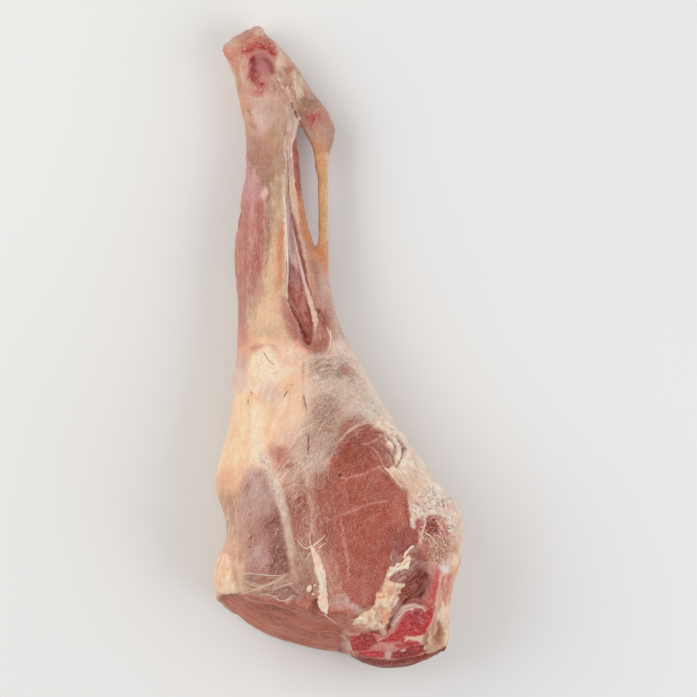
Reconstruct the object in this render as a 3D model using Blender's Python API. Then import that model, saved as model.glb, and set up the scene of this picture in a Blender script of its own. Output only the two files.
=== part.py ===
"""Raw leg of lamb, whole and on the bone, lying on its outer side.

The leg runs along Y: the rump end, which is cut across, points to -Y and the
hock points to +Y. The inner side of the leg faces up (+Z), the front edge of
the thigh faces -X and the back edge faces +X. It rests on flat spots at Z = 0.

Three solids:
  leg_meat   muscle, fat and sinew, with the heel and the free heel tendon
  hip_bone   the sawn bone that shows at the rump end, seated in the meat
  hock_bone  the bared bone at the hock end, seated in the sheath

Lengths are given in millimetres and turned into metres when a mesh is made.
"""

import math

import bmesh
import bpy
import numpy as np
from mathutils import Vector

MM = 0.001

# ---------------------------------------------------------------------------
# Driving dimensions, in millimetres
# ---------------------------------------------------------------------------

# Profiles along the leg: (place on Y, value), joined by a smooth curve.
FRONT_EDGE_X = (
    (-235, -80), (-190, -84), (-162, -87), (-128, -78), (-94, -86), (-52, -76),
    (-32, -73.5), (-21, -74.5), (-8, -71), (25, -69.5), (66, -72), (99, -68.5),
    (125, -64), (150, -65), (185, -71), (200, -77), (209, -80.5), (216, -76),
    (222, -67), (225, -60),
)
BACK_EDGE_X = (
    (-235, 76), (-209, 77), (-169, 79.5), (-150, 84.5), (-119, 86), (-102, 76.5),
    (-52, 39.5), (-18, 20), (15, 2), (32, -3), (48, -7), (59, -11.5), (68, -16),
    (91, -23.5), (125, -28), (160, -30), (200, -36), (216, -46), (225, -56),
)
TOP_Z = (
    (-235, 93), (-200, 99), (-170, 104), (-140, 106), (-110, 103), (-80, 95),
    (-50, 84), (-20, 73), (20, 61), (50, 53), (80, 47), (110, 42), (140, 39.5),
    (185, 38.5), (205, 36), (216, 32), (225, 23),
)
BOTTOM_Z = (
    (-235, 3), (-190, -1), (-150, -3), (-110, -3), (-70, -2), (-40, 0), (-10, 3),
    (30, 6), (80, 8), (110, 6), (140, 2), (165, -1.5), (190, -2), (208, 0),
    (216, 4), (225, 11),
)
FRONT_EDGE_Z = ((-235, 42), (-100, 44), (-50, 39), (0, 34), (110, 23), (225, 17))
BACK_EDGE_Z = ((-235, 40), (-150, 42), (-100, 40), (0, 33), (110, 23), (225, 17))

# Where the highest line of the top runs, as a share of the width from the front.
CREST_SHARE = ((-235, 0.60), (-110, 0.60), (-40, 0.55), (20, 0.50), (225, 0.50))
KEEL_SHARE = 0.50

# Superellipse powers of the cross-section: 2 is an ellipse, more is squarer.
TOP_POWER = 2.25
BOTTOM_POWER = 2.15

STATION_STEP = 2.5
RING_POINTS = 72
CAP_RINGS = 10
CAP_CENTRE_SHRINK = 0.02

# The heel bone and the free heel tendon: centre X, Y, Z, half width, half depth.
HEEL_STATIONS = (
    (-52, 206, 20, 11, 13),
    (-38, 189, 20, 12.4, 13),
    (-28, 177, 20, 10, 12),
    (-18.5, 164, 20, 10, 11),
    (-12.6, 153, 20.5, 10.2, 10),
    (-11.2, 143, 21, 7.2, 7.5),
    (-11, 132, 22, 5.2, 5.4),
    (-10.6, 115, 23.5, 4.2, 4.4),
    (-10.3, 95, 25.5, 4, 4.2),
    (-10.1, 76, 28, 4, 4.5),
    (-10.6, 60, 30, 4.8, 6),
    (-13.5, 40, 31, 6.5, 9),
)
HEEL_RING_POINTS = 24
HEEL_STEPS_BETWEEN = 5

# The cut across the rump: a slightly domed face that leans back from the top.
RUMP_EDGE_Y = -173.5
RUMP_EDGE_X = -41.0
RUMP_EDGE_Z = 95.0
RUMP_SLOPE_ACROSS = -0.27
RUMP_LEAN = 0.30
RUMP_DOME = 5.0
RUMP_DOME_CENTRE = (-32.0, 45.0)
RUMP_DOME_RADII = (55.0, 52.0)
# The sawn hip face beside it: a plane through this point, with these slopes.
HIP_FACE_POINT = (50.0, -178.0, 88.0)
HIP_FACE_SLOPE_X = -0.42
HIP_FACE_SLOPE_Y = 1.282
# The rounded lower rim under the hip face.
HIP_RIM_Y = -225.5
HIP_RIM_X = 38.0
HIP_RIM_RISE = 16.0
HIP_RIM_HALF_WIDTH = 39.0
HIP_STARTS_X = 6.5
HIP_BLEND = 2.5
CORNER_SOFTNESS = 3.0
SHEAR_STARTS_Y = -90.0
SHEAR_ENDS_Y = -200.0

# Swells and hollows of the upper side: centre X, Y, radii, turn in degrees, rise.
# They fade out at this many radii, and on faces that turn away from upright.
RELIEF_REACH = 1.6
RELIEF_FULL_FACING = 0.5
RELIEF = (
    ("back thigh muscle", 20, -108, 36, 52, 8, 3.5),
    ("front thigh muscle", -54, -126, 15, 36, -6, 2.5),
    ("groove between them", -36, -125, 7, 48, 13, -2.5),
    ("kneecap", -52, -10, 11, 12, 0, 2.5),
    ("shin head", -47, -30, 10, 10, 0, 1.5),
    ("shin muscle", -60, 55, 8, 42, 0, 1.5),
    ("shin tendon", -39, 88, 4, 45, 0, 1.2),
    ("hollow before the calf", -23, 22, 9, 30, 24, -4.5),
    ("end of that hollow", -17.5, 3, 9, 7, 0, -3.5),
    ("pelvic hollow", 53, -165, 13, 13, 0, -13.0),
    ("fat over the hip, inner", 22, -186, 15, 12, 20, 5.0),
    ("fat over the hip, outer", 37, -170, 8, 14, -25, 4.0),
    ("flank fat lobe", -79, -161, 9, 17, 0, 3.0),
)

# The sawn hip bone: its outline on the hip face, seen from above, X and Y.
HIP_BONE_OUTLINE = (
    (38, -192), (41, -185), (47, -179), (55, -177), (63, -178.5), (67, -184),
    (65.5, -195), (63, -203), (65, -210), (59, -216), (37, -218.5), (14, -215.5),
    (8, -206), (13, -200), (25, -199.5), (32, -201),
)
HIP_BONE_DEPTH = 30.0
HIP_BONE_TAPER = 0.70
HIP_BONE_ABOVE = 14.0
OUTLINE_STEPS = 3

# The bared hock bone: an oval peg that goes down into the sheath.
HOCK_BONE_CENTRE = (-54.5, 199.5)
HOCK_BONE_RADII = (12.5, 20.0)
HOCK_BONE_TURN = 4.0
HOCK_BONE_FOOT_Z = 15.0
HOCK_BONE_HEAD_Z = 50.0
HOCK_BONE_TAPER = 0.75
HOCK_BONE_POINTS = 36

SEAT_GAP = 0.3

# The block that levels the underside: half its width and its depth below Z = 0.
FLOOR_REACH = 400.0
FLOOR_DEPTH = 60.0

# Mesh making: union grain, smoothing, and the triangles kept on the meat.
UNION_VOXEL = 1.7
SMOOTH_FACTOR = 0.5
SMOOTH_ROUNDS = 5
MEAT_TRIANGLES = 7600
SHARP_DEGREES = 50

# Colours: base colour, roughness, metallic value.
MATERIALS = {
    "leg_meat": ((0.62, 0.33, 0.25), 0.42, 0.0),
    "hip_bone": ((0.52, 0.10, 0.10), 0.50, 0.0),
    "hock_bone": ((0.45, 0.18, 0.17), 0.45, 0.0),
}


# ---------------------------------------------------------------------------
# Curves and small helpers
# ---------------------------------------------------------------------------

def smooth_profile(knots, places):
    """Value of a smooth curve through the knots, which never overshoots them."""
    knots = np.asarray(knots, dtype=float)
    x = knots[:, 0]
    v = knots[:, 1]
    run = np.diff(x)
    grade = np.diff(v) / run
    slope = np.zeros(len(x))
    slope[0] = grade[0]
    slope[-1] = grade[-1]
    for i in range(1, len(x) - 1):
        if grade[i - 1] * grade[i] > 0:
            weight_a = 2 * run[i] + run[i - 1]
            weight_b = run[i] + 2 * run[i - 1]
            slope[i] = (weight_a + weight_b) / (weight_a / grade[i - 1] + weight_b / grade[i])
    places = np.clip(np.asarray(places, dtype=float), x[0], x[-1])
    span = np.clip(np.searchsorted(x, places, side="right") - 1, 0, len(x) - 2)
    h = run[span]
    t = (places - x[span]) / h
    start = (1 + 2 * t) * (1 - t) ** 2 * v[span] + t * (1 - t) ** 2 * h * slope[span]
    end = t * t * (3 - 2 * t) * v[span + 1] + t * t * (t - 1) * h * slope[span + 1]
    return start + end


def ease(value):
    """Smooth step from 0 to 1."""
    t = np.clip(value, 0.0, 1.0)
    return t * t * (3.0 - 2.0 * t)


def soft_max(a, b, softness):
    """The larger of two surfaces, with their meeting line rounded off."""
    return 0.5 * (a + b + np.sqrt((a - b) ** 2 + softness ** 2))


def closed_curve(points, steps):
    """Points of a closed Catmull-Rom curve through the given corners."""
    corners = np.array(points, dtype=float)
    count = len(corners)
    curve = []
    for i in range(count):
        p0, p1, p2, p3 = (corners[(i + k - 1) % count] for k in range(4))
        for step in range(steps):
            t = step / steps
            curve.append(0.5 * (
                2 * p1
                + (p2 - p0) * t
                + (2 * p0 - 5 * p1 + 4 * p2 - p3) * t * t
                + (3 * p1 - p0 - 3 * p2 + p3) * t ** 3
            ))
    return np.array(curve)


def grown_outline(outline, gap):
    """A closed outline, running anticlockwise, moved outward by the gap."""
    ahead = np.roll(outline, -1, axis=0)
    behind = np.roll(outline, 1, axis=0)
    along = ahead - behind
    along /= np.linalg.norm(along, axis=1)[:, None]
    outward = np.column_stack((along[:, 1], -along[:, 0]))
    return outline + gap * outward


def make_material(name):
    """A plain Principled material in the sub-part's own colour."""
    colour, roughness, metallic = MATERIALS[name]
    material = bpy.data.materials.new(name)
    material.use_nodes = True
    shader = material.node_tree.nodes["Principled BSDF"]
    shader.inputs["Base Color"].default_value = (*colour, 1.0)
    shader.inputs["Roughness"].default_value = roughness
    shader.inputs["Metallic"].default_value = metallic
    return material


def add_object(name, rings, closed_ends=True):
    """An object skinned over rings of points in millimetres, one after another."""
    count = len(rings[0])
    mesh = bpy.data.meshes.new(name)
    bm = bmesh.new()
    loops = [[bm.verts.new(Vector(point) * MM) for point in ring] for ring in rings]
    for lower, upper in zip(loops, loops[1:]):
        for i in range(count):
            j = (i + 1) % count
            bm.faces.new((lower[i], lower[j], upper[j], upper[i]))
    if closed_ends:
        bm.faces.new(list(reversed(loops[0])))
        bm.faces.new(loops[-1])
    bmesh.ops.recalc_face_normals(bm, faces=bm.faces)
    bm.to_mesh(mesh)
    bm.free()
    obj = bpy.data.objects.new(name, mesh)
    bpy.context.scene.collection.objects.link(obj)
    return obj


def evaluated_mesh(obj):
    """A new mesh of the object as its modifiers leave it."""
    bpy.context.view_layer.update()
    graph = bpy.context.evaluated_depsgraph_get()
    return bpy.data.meshes.new_from_object(obj.evaluated_get(graph))


def bake_modifiers(obj):
    """Replace the object's mesh by what its modifiers make of it."""
    mesh = evaluated_mesh(obj)
    obj.modifiers.clear()
    obj.data = mesh


def remove_object(obj):
    bpy.data.objects.remove(obj, do_unlink=True)


def boolean(obj, operation, other):
    """Apply an exact Boolean with another object."""
    modifier = obj.modifiers.new(operation.lower(), "BOOLEAN")
    modifier.operation = operation
    modifier.solver = "EXACT"
    modifier.object = other
    bake_modifiers(obj)


# ---------------------------------------------------------------------------
# The leg's own shape
# ---------------------------------------------------------------------------

def rump_y(x, z):
    """Where the rump end is cut, as a Y for each place across and up the leg."""
    cut = RUMP_EDGE_Y + RUMP_SLOPE_ACROSS * (x - RUMP_EDGE_X)
    cut = cut - RUMP_LEAN * (RUMP_EDGE_Z - z)
    dome_x = (x - RUMP_DOME_CENTRE[0]) / RUMP_DOME_RADII[0]
    dome_z = (z - RUMP_DOME_CENTRE[1]) / RUMP_DOME_RADII[1]
    cut = cut - RUMP_DOME * np.clip(1 - dome_x ** 2 - dome_z ** 2, 0, 1)
    face_x, face_y, face_z = HIP_FACE_POINT
    face = face_y + (z - face_z - HIP_FACE_SLOPE_X * (x - face_x)) / HIP_FACE_SLOPE_Y
    rim = HIP_RIM_Y + HIP_RIM_RISE * ((x - HIP_RIM_X) / HIP_RIM_HALF_WIDTH) ** 2
    hip = soft_max(face, rim, CORNER_SOFTNESS)
    share = ease((x - HIP_STARTS_X + HIP_BLEND) / (2 * HIP_BLEND))
    return cut * (1 - share) + hip * share


def slanted_y(place, x, z):
    """The Y of a ring's point: rings slant more and more towards the rump cut."""
    share = ease((SHEAR_STARTS_Y - place) / (SHEAR_STARTS_Y - SHEAR_ENDS_Y))
    return place + share * (rump_y(x, z) - SHEAR_ENDS_Y)


def leg_ring(place, shrink=1.0):
    """One cross-section of the leg, as X and Z, drawn in by the shrink."""
    front = smooth_profile(FRONT_EDGE_X, place)
    back = smooth_profile(BACK_EDGE_X, place)
    front_z = smooth_profile(FRONT_EDGE_Z, place)
    back_z = smooth_profile(BACK_EDGE_Z, place)
    crest = front + (back - front) * smooth_profile(CREST_SHARE, place)
    keel = front + (back - front) * KEEL_SHARE
    front = smooth_profile(FRONT_EDGE_X, slanted_y(place, front, front_z))
    back = smooth_profile(BACK_EDGE_X, slanted_y(place, back, back_z))
    top = smooth_profile(TOP_Z, slanted_y(place, crest, smooth_profile(TOP_Z, place)))
    bottom = smooth_profile(BOTTOM_Z, slanted_y(place, keel, 0.0))
    angle = 2 * math.pi * np.arange(RING_POINTS) / RING_POINTS
    cosine = np.cos(angle)
    sine = np.sin(angle)
    upper = sine >= 0
    power = np.where(upper, TOP_POWER, BOTTOM_POWER)
    across = np.abs(cosine) ** (2 / power)
    upward = np.abs(sine) ** (2 / power)
    middle = np.where(upper, crest, keel)
    edge = np.where(cosine >= 0, back, front)
    edge_z = np.where(cosine >= 0, back_z, front_z)
    x = middle + (edge - middle) * across
    z = edge_z + (np.where(upper, top, bottom) - edge_z) * upward
    centre_x = 0.5 * (front + back)
    centre_z = 0.5 * (top + bottom)
    return centre_x + (x - centre_x) * shrink, centre_z + (z - centre_z) * shrink


def leg_rings():
    """Rings from the middle of the rump face, out to its rim, and up the leg."""
    first = SHEAR_ENDS_Y
    last = FRONT_EDGE_X[-1][0]
    rings = []
    for shrink in np.linspace(CAP_CENTRE_SHRINK, 1.0, CAP_RINGS, endpoint=False):
        x, z = leg_ring(first, shrink)
        rings.append(np.column_stack((x, rump_y(x, z), z)))
    for place in np.arange(first, last + 0.5 * STATION_STEP, STATION_STEP):
        x, z = leg_ring(place)
        rings.append(np.column_stack((x, slanted_y(place, x, z), z)))
    return rings


def heel_rings():
    """Rings along the heel bone and down the heel tendon into the calf."""
    stations = np.array(HEEL_STATIONS, dtype=float)
    knots = np.arange(len(stations))
    places = np.linspace(0, knots[-1], HEEL_STEPS_BETWEEN * knots[-1] + 1)
    columns = [smooth_profile(np.column_stack((knots, c)), places) for c in stations.T]
    x, y, z, half_width, half_depth = columns
    heading = np.column_stack((np.gradient(x), np.gradient(y)))
    heading /= np.linalg.norm(heading, axis=1)[:, None]
    angle = 2 * math.pi * np.arange(HEEL_RING_POINTS) / HEEL_RING_POINTS
    rings = []
    for i in range(len(places)):
        side = np.array((heading[i, 1], -heading[i, 0]))
        out = half_width[i] * np.cos(angle)
        ring_x = x[i] + out * side[0]
        ring_y = y[i] + out * side[1]
        ring_z = z[i] + half_depth[i] * np.sin(angle)
        rings.append(np.column_stack((ring_x, ring_y, ring_z)))
    return rings


def raise_relief(mesh):
    """Move the upper side up and down by the listed swells and hollows."""
    count = len(mesh.vertices)
    places = np.empty(count * 3)
    facing = np.empty(count * 3)
    mesh.vertices.foreach_get("co", places)
    mesh.vertices.foreach_get("normal", facing)
    places = places.reshape(-1, 3) / MM
    facing = facing.reshape(-1, 3)
    rise = np.zeros(count)
    for _, centre_x, centre_y, radius_x, radius_y, turn, height in RELIEF:
        angle = math.radians(turn)
        dx = places[:, 0] - centre_x
        dy = places[:, 1] - centre_y
        along = (dx * math.cos(angle) + dy * math.sin(angle)) / radius_x
        across = (dy * math.cos(angle) - dx * math.sin(angle)) / radius_y
        rise += height * ease(1 - np.sqrt(along ** 2 + across ** 2) / RELIEF_REACH)
    rise *= ease(facing[:, 2] / RELIEF_FULL_FACING)
    places[:, 2] += rise
    mesh.vertices.foreach_set("co", (places * MM).ravel())
    mesh.update()


def make_leg():
    """The whole leg without its bone seats: leg and heel joined as one skin."""
    leg = add_object("leg_meat", leg_rings())
    heel = add_object("heel", heel_rings())
    joined = bmesh.new()
    joined.from_mesh(leg.data)
    joined.from_mesh(heel.data)
    joined.to_mesh(leg.data)
    joined.free()
    remove_object(heel)

    remesh = leg.modifiers.new("one skin", "REMESH")
    remesh.mode = "VOXEL"
    remesh.voxel_size = UNION_VOXEL * MM
    smooth = leg.modifiers.new("soften", "SMOOTH")
    smooth.factor = SMOOTH_FACTOR
    smooth.iterations = SMOOTH_ROUNDS
    bake_modifiers(leg)
    raise_relief(leg.data)

    triangles = 2 * len(leg.data.polygons)
    thin = leg.modifiers.new("thin out", "DECIMATE")
    thin.ratio = MEAT_TRIANGLES / triangles
    thin.use_collapse_triangulate = True
    bake_modifiers(leg)
    return leg


def flatten_underside(leg):
    """Cut the leg off level at Z = 0, which leaves the flats it rests on."""
    reach = FLOOR_REACH
    block = [
        np.array([(-reach, -reach, z), (reach, -reach, z), (reach, reach, z), (-reach, reach, z)])
        for z in (-FLOOR_DEPTH, 0.0)
    ]
    floor = add_object("floor cutter", block)
    boolean(leg, "DIFFERENCE", floor)
    remove_object(floor)


# ---------------------------------------------------------------------------
# The bones
# ---------------------------------------------------------------------------

def hip_face_normal():
    """Outward direction of the sawn hip face."""
    normal = np.array((-HIP_FACE_SLOPE_X, -HIP_FACE_SLOPE_Y, 1.0))
    return normal / np.linalg.norm(normal)


def hip_bone_rings(gap):
    """Rings of the hip bone's tapered block, from its inner end out past the face."""
    outline = closed_curve(HIP_BONE_OUTLINE, OUTLINE_STEPS)[::-1]
    outline = grown_outline(outline, gap)
    face_x, face_y, face_z = HIP_FACE_POINT
    height = (
        face_z
        + HIP_FACE_SLOPE_X * (outline[:, 0] - face_x)
        + HIP_FACE_SLOPE_Y * (outline[:, 1] - face_y)
    )
    face = np.column_stack((outline, height))
    centre = face.mean(axis=0)
    normal = hip_face_normal()
    inner = centre + (face - centre) * HIP_BONE_TAPER - (HIP_BONE_DEPTH + gap) * normal
    outer = face + HIP_BONE_ABOVE * normal
    return [inner, face, outer]


def hock_bone_rings(gap):
    """Rings of the hock bone's oval peg, from its foot up past the sheath."""
    angle = 2 * math.pi * np.arange(HOCK_BONE_POINTS) / HOCK_BONE_POINTS
    turn = math.radians(HOCK_BONE_TURN)
    rings = []
    for z, share in ((HOCK_BONE_FOOT_Z - gap, HOCK_BONE_TAPER), (HOCK_BONE_HEAD_Z, 1.0)):
        u = (HOCK_BONE_RADII[0] * share + gap) * np.cos(angle)
        v = (HOCK_BONE_RADII[1] * share + gap) * np.sin(angle)
        x = HOCK_BONE_CENTRE[0] + u * math.cos(turn) - v * math.sin(turn)
        y = HOCK_BONE_CENTRE[1] + u * math.sin(turn) + v * math.cos(turn)
        rings.append(np.column_stack((x, y, np.full(len(angle), z))))
    return rings


def seat_bone(leg, name, bone_rings):
    """Make a bone flush with the leg's surface, and cut its seat in the meat."""
    bone = add_object(name, bone_rings(0.0))
    boolean(bone, "INTERSECT", leg)
    seat = add_object(name + " seat", bone_rings(SEAT_GAP))
    boolean(leg, "DIFFERENCE", seat)
    remove_object(seat)
    return bone


# ---------------------------------------------------------------------------
# Putting it together
# ---------------------------------------------------------------------------

def centre_on_origin(objects):
    """Put the middle of the whole part's plan over the origin."""
    corners = np.array([v.co for obj in objects for v in obj.data.vertices])
    middle = 0.5 * (corners.min(axis=0) + corners.max(axis=0))
    for obj in objects:
        for vertex in obj.data.vertices:
            vertex.co.x -= middle[0]
            vertex.co.y -= middle[1]


def finish_object(obj):
    """Triangles, own material and smooth shading."""
    bm = bmesh.new()
    bm.from_mesh(obj.data)
    bmesh.ops.triangulate(bm, faces=bm.faces)
    bm.to_mesh(obj.data)
    bm.free()
    obj.data.materials.clear()
    obj.data.materials.append(make_material(obj.name))
    obj.data.shade_smooth()
    obj.data.set_sharp_from_angle(angle=math.radians(SHARP_DEGREES))


def main():
    for obj in list(bpy.data.objects):
        bpy.data.objects.remove(obj, do_unlink=True)
    leg = make_leg()
    flatten_underside(leg)
    hip_bone = seat_bone(leg, "hip_bone", hip_bone_rings)
    hock_bone = seat_bone(leg, "hock_bone", hock_bone_rings)
    parts = (leg, hip_bone, hock_bone)
    centre_on_origin(parts)
    for obj in parts:
        finish_object(obj)


main()
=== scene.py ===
"""Looks of a raw leg of lamb, lying on its outer side with its inner side up.

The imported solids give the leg's form. A fine skin is grown over them, shaped
with muscles, sinews and folds, and painted vertex by vertex. Loose fat, sinew
threads, shreds and the two bared bones are pieces of their own.

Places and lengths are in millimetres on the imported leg: X across, from the
front edge of the thigh (-) to the back edge (+), Y along, from the rump (-) to
the hock (+), and Z up. Angles are in degrees, anticlockwise from +X. Colours
are sRGB, from 0 to 255.
"""

import math

import bmesh
import bpy
import numpy as np
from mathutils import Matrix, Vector
from mathutils.bvhtree import BVHTree


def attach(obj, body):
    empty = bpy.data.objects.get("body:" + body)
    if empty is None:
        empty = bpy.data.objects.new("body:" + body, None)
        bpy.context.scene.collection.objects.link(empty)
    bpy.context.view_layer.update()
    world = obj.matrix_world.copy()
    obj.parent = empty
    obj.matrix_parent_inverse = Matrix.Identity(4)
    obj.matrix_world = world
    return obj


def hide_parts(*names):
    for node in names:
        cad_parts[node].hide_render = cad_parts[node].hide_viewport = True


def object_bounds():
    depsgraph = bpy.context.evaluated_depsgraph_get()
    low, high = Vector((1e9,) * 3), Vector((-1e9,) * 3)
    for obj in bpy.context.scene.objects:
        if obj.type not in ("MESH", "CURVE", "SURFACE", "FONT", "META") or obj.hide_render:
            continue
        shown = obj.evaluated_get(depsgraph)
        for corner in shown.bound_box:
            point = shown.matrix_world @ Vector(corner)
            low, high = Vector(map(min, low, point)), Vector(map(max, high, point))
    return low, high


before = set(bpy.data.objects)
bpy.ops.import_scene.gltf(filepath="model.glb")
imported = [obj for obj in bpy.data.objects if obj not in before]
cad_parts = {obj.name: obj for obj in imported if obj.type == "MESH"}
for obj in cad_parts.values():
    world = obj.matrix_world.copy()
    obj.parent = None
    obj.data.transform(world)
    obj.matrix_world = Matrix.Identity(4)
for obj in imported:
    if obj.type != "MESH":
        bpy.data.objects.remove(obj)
CAD_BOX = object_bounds()

MM = 0.001
DESIGN_SIZE = (172.9, 450.1, 108.4)
STRETCH = [
    (CAD_BOX[1][axis] - CAD_BOX[0][axis]) / (DESIGN_SIZE[axis] * MM) for axis in range(3)
]

# The meshes: voxel size in mm, rounds of smoothing, and which facings get finer quads.
SKIN_VOXEL = 2.5
SKIN_ROUNDS = 14
UPPER_NORMAL = 0.38
UPPER_ROUNDS = 3
FINE_NORMAL = 0.35
FINE_ROUNDS = 2
BONE_VOXEL = 0.7
BONE_ROUNDS = 4
RELAX = 0.5
PUSH_BACK = -0.53

# Painting: how far edges and colours stray in mm, and which facings count as steep or upper.
WANDER = 0.8
FINE_WANDER = 0.45
SIDE_SHIFT = 9.0
STEEP = 0.45
UPPER_SIDE_NORMAL = -0.30
GRAIN_STEP = 15.0
OCTAVE_SHIFT = 17.3
NOISE_REACH = 1.35
FAT_MOTTLE = 0.07

# The wet shine's pale veil, and the colours' limits, in linear light.
SHINE_VEIL = 0.032
SHINE_GAIN = 1.12
DARKEST = 0.008
PALEST = 0.97

# The meat round a bared bone, and pads of fat, in mm.
BONE_SEAM = 1.2
BONE_SINK = 0.5
BONE_CLEARANCE = 10
SEAM_RAYS = 8
PILLOW_STEP = 0.6
PILLOW_SUNK = 1.5
ABOVE_LEG = 200.0
HALF_WAY_UP = 40.0
DOWN = Vector((0, 0, -1))

# Floor, camera and lights in metres and watts; the view's level, centre and width in mm.
FLOOR_SIZE = 6.0
CAMERA_HEIGHT = 6.0
VIEW_LEVEL = 50
VIEW_CENTRE = (7.85, -0.35)
VIEW_WIDTH = 487.9
SENSOR = 36.0
KEY_PLACE = (-1.2, 0.45, 1.05)
KEY_SIZE = (1.7, 1.3)
KEY_POWER = 14.9
KEY_COLOUR = (255, 252, 247)
FILL_PLACE = (1.2, -0.35, 1.05)
FILL_SIZE = (1.7, 1.3)
FILL_POWER = 12.4
FILL_COLOUR = (250, 251, 255)
LIGHT_TARGET = (0, 0, 0.05)
ROOM_COLOUR = (240, 240, 240)
ROOM_STRENGTH = 0.55

# Skin colours that several layers share.
BEIGE = (220, 188, 164)
FELL = (228, 200, 176)
FELL_PINK = (206, 156, 140)
FELL_WHITE = (240, 222, 204)


# ---------------------------------------------------------------------------
# Numbers, noise and colours
# ---------------------------------------------------------------------------
def ease(value):
    """Smooth step from 0 to 1."""
    t = np.clip(value, 0.0, 1.0)
    return t * t * (3.0 - 2.0 * t)


def linear(colour):
    """Linear light of an sRGB colour given from 0 to 255."""
    share = np.asarray(colour, dtype=float) / 255.0
    return np.where(share <= 0.04045, share / 12.92, ((share + 0.055) / 1.055) ** 2.4)


def lattice(cell, seed):
    """A repeatable random number from 0 to 1 for each whole-number cell."""
    mixed = cell.astype(np.int64).astype(np.uint32)
    value = mixed[:, 0] * np.uint32(73856093)
    value ^= mixed[:, 1] * np.uint32(19349663)
    value ^= mixed[:, 2] * np.uint32(83492791)
    value ^= np.uint32((seed * 2654435761) % 2 ** 32)
    value ^= value >> np.uint32(13)
    value *= np.uint32(1540483477)
    value ^= value >> np.uint32(15)
    value *= np.uint32(2246822519)
    value ^= value >> np.uint32(14)
    return value / 4294967295.0


def smooth_noise(places, seed):
    """Value noise from -1 to 1 with features about one unit wide."""
    cell = np.floor(places)
    part = places - cell
    part = part * part * (3.0 - 2.0 * part)
    total = np.zeros(len(places))
    for corner in range(8):
        step = np.array([corner & 1, corner >> 1 & 1, corner >> 2 & 1])
        weight = np.prod(np.where(step, part, 1.0 - part), axis=1)
        total += weight * lattice(cell + step, seed)
    return 2.0 * total - 1.0


def noise(places, size, seed, octaves=3):
    """Layered noise, about -1 to 1, whose largest features are size wide."""
    places = places / np.asarray(size, dtype=float)
    total = np.zeros(len(places))
    height = 1.0
    for octave in range(octaves):
        shifted = places * 2.0 ** octave + OCTAVE_SHIFT * octave
        total += height * smooth_noise(shifted, seed + octave)
        height *= 0.5
    return total / NOISE_REACH


def along_grain(places, grain):
    """Coordinates along the nearest step of the grain, across it, and up."""
    angle = np.radians(GRAIN_STEP * np.round(grain / GRAIN_STEP))
    x, y, z = places.T
    along = x * np.cos(angle) + y * np.sin(angle)
    across = y * np.cos(angle) - x * np.sin(angle)
    return along, across, z


def wander(places, seed):
    """How far painted edges stray from their outlines, so that they look natural."""
    return WANDER * noise(places, 6.0, seed) + FINE_WANDER * noise(places, 1.8, seed + 1, 2)


def turned(x, y, angle):
    """Plan coordinates along and across a direction."""
    cosine = math.cos(math.radians(angle))
    sine = math.sin(math.radians(angle))
    return x * cosine + y * sine, y * cosine - x * sine


def route(points):
    """The points of a route, which may be written out as text: "3,-2 5.5,0"."""
    if isinstance(points, str):
        points = [point.split(",") for point in points.split()]
    return np.array(points, dtype=float)


def curve_through(points, step=1.5, closed=False):
    """Points about a step apart on a smooth curve through a route."""
    knots = route(points)
    count = len(knots)
    spans = count if closed else count - 1
    curve = []
    for i in range(spans):
        if closed:
            p0, p1, p2, p3 = (knots[(i + k - 1) % count] for k in range(4))
        else:
            p1 = knots[i]
            p2 = knots[i + 1]
            p0 = knots[i - 1] if i > 0 else 2 * p1 - p2
            p3 = knots[i + 2] if i + 2 < count else 2 * p2 - p1
        parts = max(2, int(np.linalg.norm((p2 - p1)[:2]) / step))
        for part in range(parts):
            t = part / parts
            curve.append(0.5 * (
                2 * p1 + (p2 - p0) * t
                + (2 * p0 - 5 * p1 + 4 * p2 - p3) * t * t
                + (3 * p1 - p0 - 3 * p2 + p3) * t ** 3
            ))
    if not closed:
        curve.append(knots[-1])
    return np.array(curve)


# ---------------------------------------------------------------------------
# Shapes on the plan of the leg: each gives the points it touches and how much
# ---------------------------------------------------------------------------
class Blob:
    """A soft ellipse: centre, radii, turn and how soft its edge is, from 0 to 1."""

    def __init__(self, centre, radii, turn=0, soft=0.5):
        self.centre = centre
        self.radii = radii
        self.turn = turn
        self.soft = soft
        reach = max(radii) * (1 + soft)
        self.low = np.array(centre) - reach
        self.high = np.array(centre) + reach

    def share(self, x, y):
        along, across = turned(x - self.centre[0], y - self.centre[1], self.turn)
        span = np.hypot(along / self.radii[0], across / self.radii[1])
        return ease((1 + self.soft - span) / (2 * self.soft))


def distance_to_curve(x, y, curve):
    """Distance to a polyline, the place along it from 0 to 1, and its winding."""
    best = np.full(len(x), 1e9)
    along = np.zeros(len(x))
    steps = np.linalg.norm(np.diff(curve[:, :2], axis=0), axis=1)
    reached = np.concatenate(([0.0], np.cumsum(steps)))
    for i in range(len(curve) - 1):
        ax, ay = curve[i, :2]
        bx, by = curve[i + 1, :2] - curve[i, :2]
        length = max(bx * bx + by * by, 1e-9)
        t = np.clip(((x - ax) * bx + (y - ay) * by) / length, 0.0, 1.0)
        distance = np.hypot(x - ax - t * bx, y - ay - t * by)
        closer = distance < best
        best = np.where(closer, distance, best)
        along = np.where(closer, (reached[i] + t * steps[i]) / reached[-1], along)
    return best, along


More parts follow.
